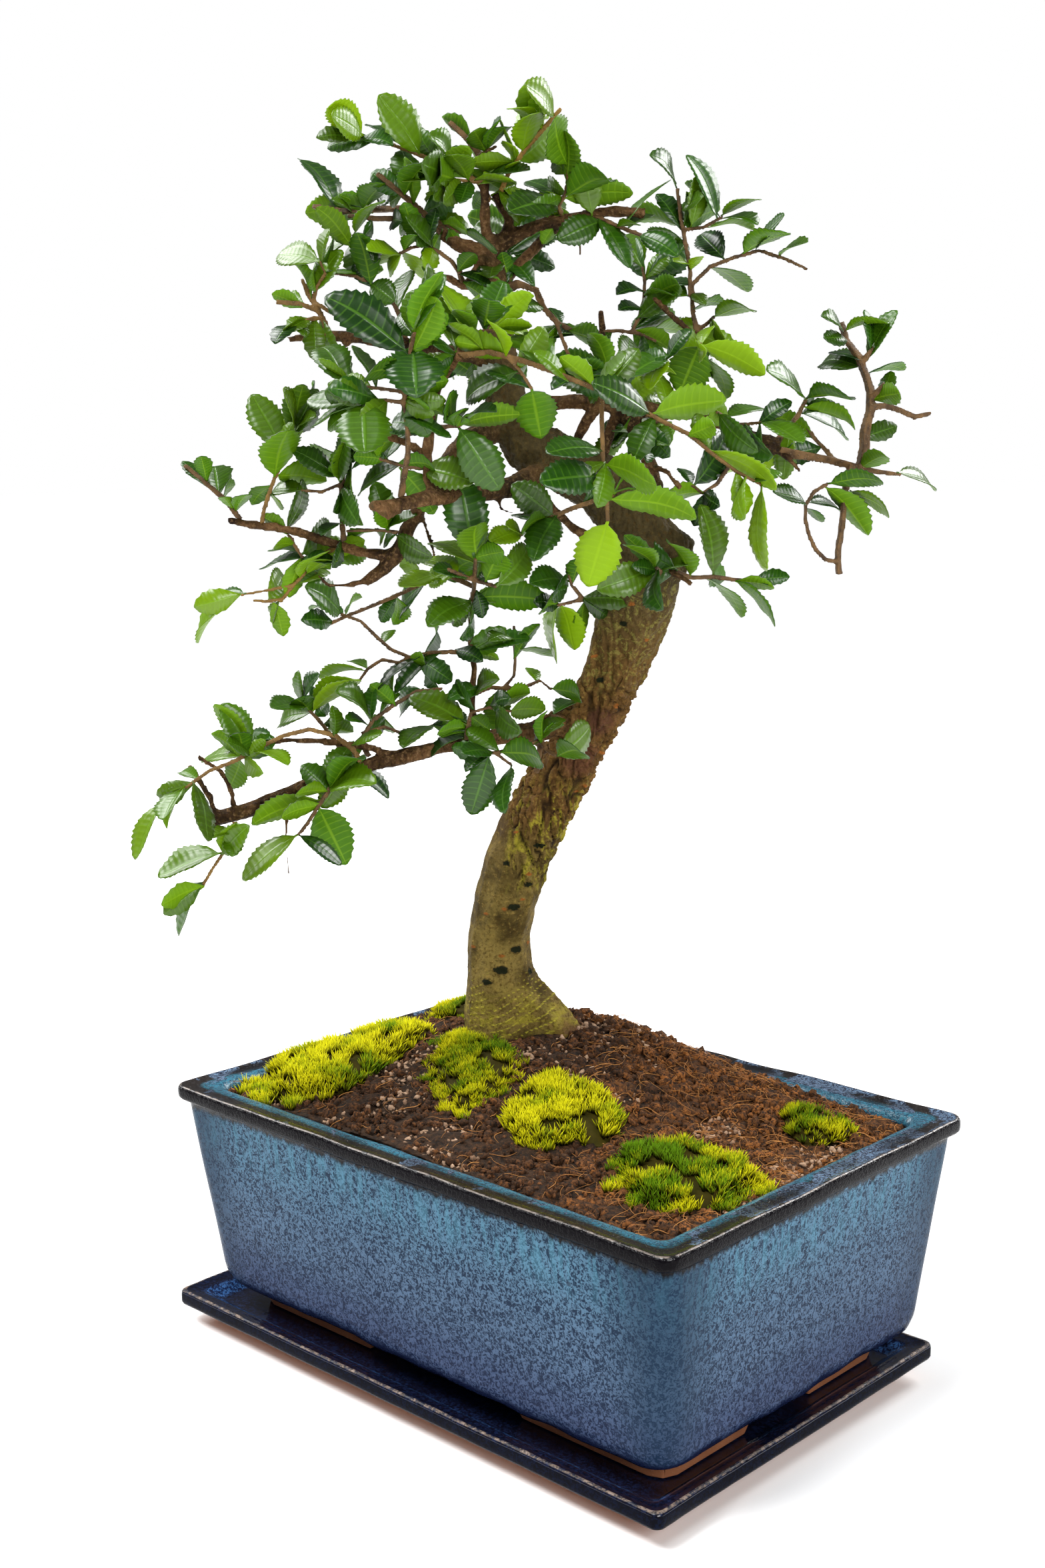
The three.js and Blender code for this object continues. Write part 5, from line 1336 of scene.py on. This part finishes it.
def throw(half_x, half_y, profile, middle, wander):
    """A closed body from rings of (inset, corner, height) in millimetres."""
    shape = bmesh.new()
    inset_label = add_labels(shape, "inset")[0]
    count = len(rounded_outline(half_x, half_y, 1 * mm))
    ring = bmesh.ops.create_circle(shape, cap_ends=False, segments=count, radius=1)["verts"]
    edges = shape.edges[:]
    start_edges = edges
    for step, (inset, corner, height) in enumerate(profile):
        if step:
            grown = bmesh.ops.extrude_edge_only(shape, edges=edges)["geom"]
            ring = [v for v in grown if isinstance(v, bmesh.types.BMVert)]
            new = set(ring)
            edges = [e for e in grown if isinstance(e, bmesh.types.BMEdge) and new.issuperset(e.verts)]
        outline = rounded_outline(half_x - inset * mm, half_y - inset * mm, corner * mm)
        for v, spot in zip(ring, outline):
            place = Vector((*spot, height * mm)) + middle
            v.co = place + wander(place, inset, height)
            v[inset_label] = inset
    for loop in (start_edges, edges):
        bmesh.ops.edgeloop_fill(shape, edges=loop)
    bmesh.ops.recalc_face_normals(shape, faces=shape.faces)
    return shape


def shine_on_top(shape, level, index):
    """Gives the faces that look up, above a level, a glossier finish than the upright ones."""
    shape.normal_update()
    for face in shape.faces:
        face.material_index = index if face.normal.z > 0.35 and face.calc_center_median().z > level else 0


def steps_between(start, end, count):
    """Profile rings evenly spread from one ring to another, without the last."""
    return [tuple(a + (b - a) * i / count for a, b in zip(start, end)) for i in range(count)]


print(len(rounded_outline(1, 1, 0.1)), "points a ring")

# %% [markdown]
# ## The pot's shape
#
# The profile runs from the underside up the leaning wall, over the lip and down inside to
# the floor. Two holes are cut through the floor, and the four feet come from the solid,
# with softened edges.

# %% The pot's shape
underside = 17.0
lip_foot = 90.3
pot_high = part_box("pot")[1]
rim = pot_high.z / mm
pot_top_level = 88 * mm
hole_radius = 8 * mm
hole_offset = 38
foot_bevel = 0.7 * mm


def wall_inset(height):
    """How far the leaning wall's outside lies in from the lip at a height."""
    return 1.6 + 0.102 * (rim - height)


def hollow_inset(height):
    """How far its inside lies in from the lip at a height."""
    return 12.5 + 0.08 * (rim - height)


def pot_profile():
    """The pot's rings as (inset, corner, height), from the underside to the floor inside."""
    foot = wall_inset(17)
    floor = hollow_inset(25)
    wall_foot = (wall_inset(26), 11, 26)
    wall_top = (wall_inset(lip_foot - 0.6), 8, lip_foot - 0.6)
    inside_top = (hollow_inset(rim - 3), 5.5, rim - 3)
    inside_foot = (hollow_inset(30), 10, 30)
    return [
        (foot + 14, 8, underside), (foot + 7, 10, underside), (foot + 4.6, 11, 17.4),
        (foot + 2.6, 12, 18.6), (foot + 1.2, 12, 20.2), (foot + 0.3, 12, 22), (wall_inset(24), 11.5, 24),
        *steps_between(wall_foot, wall_top, 26), wall_top,
        (1.3, 7, lip_foot), (0.5, 6, lip_foot + 0.5), (0.05, 5.4, lip_foot + 1.3), (0, 5.2, lip_foot + 2.6),
        (0, 5.2, lip_foot + 3.9), (0.12, 5.2, lip_foot + 4.7), (0.5, 5.1, rim - 0.15), (1.0, 5, rim),
        (1.6, 5, rim - 0.05), (2.6, 5, rim - 0.45), (4.5, 4.9, rim - 0.6), (7, 4.8, rim - 0.55),
        (9, 4.7, rim - 0.5), (10.6, 4.6, rim - 0.75), (11.7, 4.6, rim - 1.4), (12.3, 4.8, rim - 2.2),
        *steps_between(inside_top, inside_foot, 8), inside_foot,
        (floor + 3.5, 9, 26), (floor + 6, 8, 25), (floor + 14, 7, 25),
    ]


def glaze_wander(place, inset, height):
    """Thick glaze: a wavy lip, a slightly uneven wall and a roll that hangs at its foot."""
    if height < 17.2 or inset > 13:
        return Vector()
    lip = smooth_step(height, lip_foot - 2, lip_foot + 1)
    drift = noise.noise_vector(place * 38) * 0.35 * mm
    drift.z = noise.noise(place * 55) * (0.15 + 0.3 * lip) * mm
    roll = smooth_step(height, 17, 19) * (1 - smooth_step(height, 20.5, 24))
    hang = max(0.0, 0.35 + noise.noise(place * 70))
    outwards = Vector((place.x, place.y, 0)).normalized()
    return drift + outwards * (roll * hang * 1.1 * mm) - Vector((0, 0, roll * hang * 0.8 * mm))


def cut_away(shape, cutter):
    """The first closed body with the second cut out of it."""
    bodies = [link_object("work", mesh_of("work", part)) for part in (shape, cutter)]
    cut = bodies[0].modifiers.new("cut", "BOOLEAN")
    cut.operation = "DIFFERENCE"
    cut.solver = "EXACT"
    cut.object = bodies[1]
    shape = modified(bodies[0])
    for body in bodies:
        bpy.data.meshes.remove(body.data)
    return shape


def drain_holes():
    """Two upright plugs, where the drainage holes are cut."""
    shape = bmesh.new()
    for side in (-1, 1):
        bmesh.ops.create_cone(
            shape, cap_ends=True, segments=40, radius1=hole_radius, radius2=hole_radius, depth=20 * mm,
            matrix=Matrix.Translation(Vector((side * hole_offset, 0, 21)) * mm),
        )
    return shape


def pot_feet():
    """The four feet, cut from the solid and softened, with their tops let into the pot."""
    feet = joined_copy("pot")
    everything = feet.verts[:] + feet.edges[:] + feet.faces[:]
    level = (underside - 0.05) * mm
    bmesh.ops.bisect_plane(
        feet, geom=everything, plane_co=(0, 0, level), plane_no=(0, 0, 1), clear_outer=True,
    )
    open_edges = [edge for edge in feet.edges if edge.is_boundary]
    raised = bmesh.ops.extrude_edge_only(feet, edges=open_edges)["geom"]
    raised_verts = [v for v in raised if isinstance(v, bmesh.types.BMVert)]
    bmesh.ops.translate(feet, verts=raised_verts, vec=(0, 0, 1.2 * mm))
    bmesh.ops.holes_fill(feet, edges=[edge for edge in feet.edges if edge.is_boundary])
    feet.normal_update()
    sharp = [e for e in feet.edges if len(e.link_faces) == 2 and e.calc_face_angle() > 0.6]
    bmesh.ops.bevel(
        feet, geom=sharp, offset=foot_bevel, segments=3, profile=0.5, affect="EDGES", material=-1,
    )
    for face in feet.faces:
        face.material_index = 1
    return mesh_of("feet", feet)


def make_pot():
    """The glazed body with its drainage holes, and the bare feet."""
    body = throw(pot_high.x, pot_high.y, pot_profile(), Vector(), glaze_wander)
    body = cut_away(body, drain_holes())
    shine_on_top(body, pot_top_level, 2)
    body.from_mesh(pot_feet())
    return body


print(len(pot_profile()), "rings from the pot's underside to its floor")

# %% [markdown]
# ## Glaze and bare clay
#
# The glaze is speckled blue on black. Runs of lighter blue hang from the lip, the top of
# the rim has black pools and a turquoise inner edge, and its crest is pale where the glaze
# is thin, with a painted highlight along it. The lip is dark, with painted shadow on the
# wall below it, and the wall's corners are painted darker as shade. Each point carries its
# inset, so the bands of the rim follow its rings. The feet are bare.

# %% Glaze and bare clay
def pot_glaze(name, shine):
    """The glaze of wall, lip and rim. Inside, below the rim, it gives way to dark clay."""
    finish = Finish(name)
    z = finish.z
    inset = finish.label("inset")
    worm = finish.cloud(1.1, detail=2, stretch=(1, 1, 0.85), distortion=1.2)
    speckle = finish.fade(worm, 0.42, 0.58)
    run = finish.cloud(2.6, detail=3, stretch=(1, 1, 0.12), distortion=0.3)
    broad = finish.cloud(40, detail=2)
    # The light speckle is brighter and more cyan high on the wall, and darker and more violet low down.
    upper = finish.fade(z, 48, 84)
    light = finish.blend(upper * 0.7 + broad * 0.3, (0.08, 0.125, 0.205), (0.085, 0.185, 0.27))
    dark = finish.blend(finish.fade(z, 50, 22), (0.006, 0.014, 0.034), (0.006, 0.011, 0.033))
    light = finish.blend(finish.fade(z, 52, 24), light, (0.05, 0.074, 0.145))
    colour = finish.blend(speckle * 0.85 + 0.1 * broad, dark, light)
    streak = finish.fade(run, 0.46, 0.62) * finish.fade(z, 66, 82)
    colour = finish.blend(streak * 0.4, colour, (0.08, 0.23, 0.32))
    # Painted shade: the wall is painted darker round its rounded corners.
    corner = finish.maths("ABSOLUTE", finish.x) + finish.maths("ABSOLUTE", finish.y)
    colour = finish.blend(finish.fade(corner, 158, 188) * 0.75, colour, (0.01, 0.025, 0.05))
    spot = 1 - finish.fade(finish.cells(17), 0.04, 0.075)
    colour = finish.blend(spot * 0.7, colour, (0.012, 0.014, 0.03))
    # The lip's face is dark glaze, and the ragged dark band on the wall just below it is painted shadow of
    # the lip.
    dark_lip_and_shadow = finish.fade(z + 7 * run + 3 * finish.cloud(14), 92.2, 94.6)
    colour = finish.blend(dark_lip_and_shadow, colour, (0.0025, 0.002, 0.003))
    foot_roll = finish.fade(z + 5 * finish.cloud(9, detail=2), 25.5, 22.5)
    colour = finish.blend(foot_roll, colour, (0.005, 0.008, 0.028))
    front = 0.15 * finish.fade(finish.y, -66, -69)
    pool = finish.fade(finish.cloud(11, detail=3, distortion=0.5) + front, 0.5, 0.56)
    top = finish.blend(speckle, (0.016, 0.022, 0.042), (0.11, 0.17, 0.26))
    top = finish.blend(pool * finish.fade(inset, 8.5, 6.5), top, (0.012, 0.009, 0.008))
    inner = finish.fade(inset + 3 * pool, 8.6, 10)
    top = finish.blend(inner * (0.3 + 0.6 * speckle), top, (0.02, 0.13, 0.19))
    on_top = finish.fade(z, rim - 0.9, rim - 0.35) * finish.fade(inset, 0.8, 1.7)
    inner_top = finish.fade(inset, 8.8, 9.2) * finish.fade(z, rim - 4.5, rim - 3.0)
    colour = finish.blend(finish.maths("MAXIMUM", on_top, inner_top), colour, top)
    # The crest is paler where the glaze runs thin on it, and its broken pale line is also a painted
    # highlight.
    broken = finish.fade(finish.cloud(5, detail=6, roughness=0.8), 0.42, 0.56)
    pale_crest_and_highlight = finish.fade(inset, 0.3, 0.6) * finish.fade(inset, 1.25, 0.9)
    pale_crest_and_highlight = pale_crest_and_highlight * finish.fade(z, rim - 0.7, rim - 0.3)
    colour = finish.blend(pale_crest_and_highlight * broken * 0.55, colour, (0.3, 0.24, 0.2))
    inside = finish.fade(inset, 12.6, 13.2) * finish.fade(z, rim - 3.2, rim - 5)
    colour = finish.blend(inside, colour, (0.05, 0.03, 0.02))
    wall = finish.fade(z, 24, 28) * finish.fade(z, 90, 86)
    roughness = 0.08 + 0.2 * wall + 0.08 * speckle + 0.1 * pale_crest_and_highlight
    relief = speckle * 0.25 + 1.6 * broad + finish.cloud(6) * 0.8
    return finish.surface(colour, roughness, relief, relief_mm=0.22, Specular_IOR_Level=shine)


def bare_clay(name):
    finish = Finish(name)
    patch = finish.cloud(9, detail=4)
    grit = finish.fade(finish.cells(0.9), 0.25, 0.1)
    colour = finish.blend(patch, (0.2, 0.065, 0.025), (0.4, 0.15, 0.06))
    colour = finish.blend(grit * 0.3, colour, (0.5, 0.3, 0.2))
    return finish.surface(colour, 0.8 + 0.1 * patch, patch + grit * 0.4, relief_mm=0.25)


terracotta = bare_clay("terracotta")
glazes = [pot_glaze("pot_glaze", 0.045), terracotta, pot_glaze("rim_glaze", 0.5)]
piece("pot_body", make_pot(), glazes, "pot_glaze", "pot")
print("pot:", triangles[-1], "triangles")

# %% [markdown]
# ## The saucer
#
# The saucer is nearly black, with blue only on the slope that leads down to its floor.
# Glaze pulls away from a sharp edge, so the brim has a pale, broken line all round, which
# is also painted as a highlight, and the clay shows bare below the upright edge.

# %% The saucer
saucer_low, saucer_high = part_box("saucer")
saucer_middle = Vector(((saucer_low.x + saucer_high.x) / 2, (saucer_low.y + saucer_high.y) / 2, 0))
saucer_profile = [
    (26, 3, 0), (13, 3, 0), (12.5, 3, 0), (12.3, 3, 1.5), (12, 3, 4), (10, 3, 4.6), (6, 3, 5.8),
    (2.2, 3, 6.8), (1.2, 3, 7), (0.4, 3, 7.5), (0, 3, 8.4), (0, 3, 9.6), (0, 3, 11), (0.05, 3, 12),
    (0.3, 3, 12.6), (0.8, 3, 12.95), (1.3, 3, 13), (1.9, 3, 12.85), (3, 3, 12.4), (4.5, 3, 12.15),
    (5.6, 3, 12.05), (6.6, 3, 11.7), (8, 3.2, 10.8), (9.2, 3.4, 9.8), (10.2, 3.6, 8.9),
    (11.2, 3.8, 8.4), (12.2, 4, 8.2), (16, 4, 8.2), (22, 4, 8.2),
]
saucer_top_level = 5 * mm


def saucer_wander(place, inset, height):
    """A slightly uneven brim. The foot and the floor stay as they are."""
    if height < 5 or inset > 12.1:
        return Vector()
    drift = noise.noise_vector(place * 42) * 0.3 * mm
    drift.z = (0.22 * noise.noise(place * 60) + 0.12 * noise.noise(place * 300)) * mm
    return drift


def saucer_glaze(name, shine):
    finish = Finish(name)
    z = finish.z
    inset = finish.label("inset")
    worm = finish.cloud(1.1, detail=3, distortion=1.0)
    speckle = finish.fade(worm, 0.45, 0.6)
    mottle = finish.cloud(12, detail=3)
    colour = finish.blend(speckle * 0.4 * mottle, (0.003, 0.003, 0.008), (0.015, 0.035, 0.12))
    slope = finish.fade(inset, 5.8, 7.2) * finish.fade(inset, 11.8, 10.2)
    blue = finish.blend(speckle, (0.006, 0.01, 0.035), (0.035, 0.1, 0.26))
    colour = finish.blend(slope * finish.fade(mottle, 0.3, 0.55), colour, blue)
    side = finish.fade(z, 12.3, 11.6) * finish.fade(inset, 1.6, 1.0)
    colour = finish.blend(side * 0.6, colour, (0.003, 0.003, 0.004))
    # The pale broken line on the brim is partly thin glaze at the sharp edge and partly a painted highlight.
    broken = finish.fade(finish.cloud(3, detail=6, roughness=0.85), 0.47, 0.55)
    edge = finish.fade(inset, 1.7, 1.2) * finish.fade(z, 12.45, 12.75)
    colour = finish.blend(edge * broken * 0.5, colour, (0.36, 0.26, 0.19))
    rust = finish.fade(z + 1.2 * mottle, 8.0, 7.4)
    colour = finish.blend(rust, colour, (0.12, 0.045, 0.02))
    clay = finish.fade(z, 6.9, 6.5)
    colour = finish.blend(clay, colour, (0.3, 0.11, 0.045))
    roughness = 0.08 + 0.12 * speckle + 0.45 * clay + 0.3 * edge
    relief = mottle + 0.1 * worm + 0.4 * edge * broken
    return finish.surface(colour, roughness, relief, relief_mm=0.2, Specular_IOR_Level=shine)


saucer = throw(
    (saucer_high.x - saucer_low.x) / 2, (saucer_high.y - saucer_low.y) / 2,
    saucer_profile, saucer_middle, saucer_wander,
)
shine_on_top(saucer, saucer_top_level, 1)
saucer_glazes = [saucer_glaze("saucer_glaze", 0.025), saucer_glaze("saucer_top_glaze", 0.4)]
piece("saucer_body", saucer, saucer_glazes, "saucer_glaze", "saucer")
print("saucer:", triangles[-1], "triangles")

# %% [markdown]
# ## The drainage net
#
# The net lies over the drainage holes, under the soil. Its solid stays as it is and only
# gets a finish.

# %% The drainage net
def net_finish():
    finish = Finish("black_net")
    dust = finish.cloud(3, detail=4)
    colour = finish.blend(dust, (0.012, 0.012, 0.012), (0.05, 0.04, 0.03))
    return finish.surface(colour, 0.5 + 0.3 * dust, dust, relief_mm=0.1)


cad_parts["drain_mesh"].material_slots[0].material = net_finish()
print("drainage net dressed")

# %% [markdown]
# ## The stage
#
# A plain pale floor and soft studio light. The floor belongs to no piece.

# %% Floor and light
floor_size = 12
sky_light = 0.13


def make_stage():
    """A wide pale floor that belongs to no piece."""
    shape = bmesh.new()
    bmesh.ops.create_grid(shape, x_segments=1, y_segments=1, size=floor_size)
    mesh = mesh_of("floor", shape)
    mesh.materials.append(Finish("pale_floor").surface((0.88, 0.88, 0.88, 1), 0.9))
    floor = link_object("floor", mesh)


def soft_light(name, place, size, power):
    """A square lamp that faces the middle of the tree."""
    light = bpy.data.lights.new(name, "AREA")
    light.size = size
    light.energy = power
    lamp = link_object(name, light)
    aim = Vector((0, 0, 0.2)) - Vector(place)
    lamp.matrix_world = Matrix.Translation(place) @ aim.to_track_quat("-Z", "Y").to_matrix().to_4x4()


def soft_sun(name, place, power, spread):
    """A far lamp, as wide as a large soft box, that lights floor and object alike."""
    light = bpy.data.lights.new(name, "SUN")
    light.energy = power
    light.angle = math.radians(spread)
    lamp = link_object(name, light)
    lamp.matrix_world = (-Vector(place)).to_track_quat("-Z", "Y").to_matrix().to_4x4()


def studio_sky():
    """Plain white all round, dimmer in what it lights than where it is seen."""
    sky = bpy.data.worlds.new("studio")
    sky.use_nodes = True
    nodes = sky.node_tree.nodes
    seen = nodes.new("ShaderNodeLightPath")
    level = nodes.new("ShaderNodeMapRange")
    level.inputs["To Min"].default_value = sky_light
    level.inputs["To Max"].default_value = 1.0
    sky.node_tree.links.new(seen.outputs["Is Camera Ray"], level.inputs["Value"])
    sky.node_tree.links.new(level.outputs[0], nodes["Background"].inputs["Strength"])
    nodes["Background"].inputs["Color"].default_value = (1, 1, 1, 1)
    scene.world = sky


make_stage()
soft_sun("sun", (-0.35, -0.7, 1.5), 3.8, 25)
soft_light("left_box", (-1.15, -0.15, 1.15), 0.8, 18)
soft_light("back_box", (0.25, 1.25, 1.1), 0.7, 22)
soft_light("front_box", (1.3, -0.6, 0.8), 0.7, 20)
studio_sky()
scene.view_settings.view_transform = "Standard"
print("floor, sun, three soft boxes and sky ready")
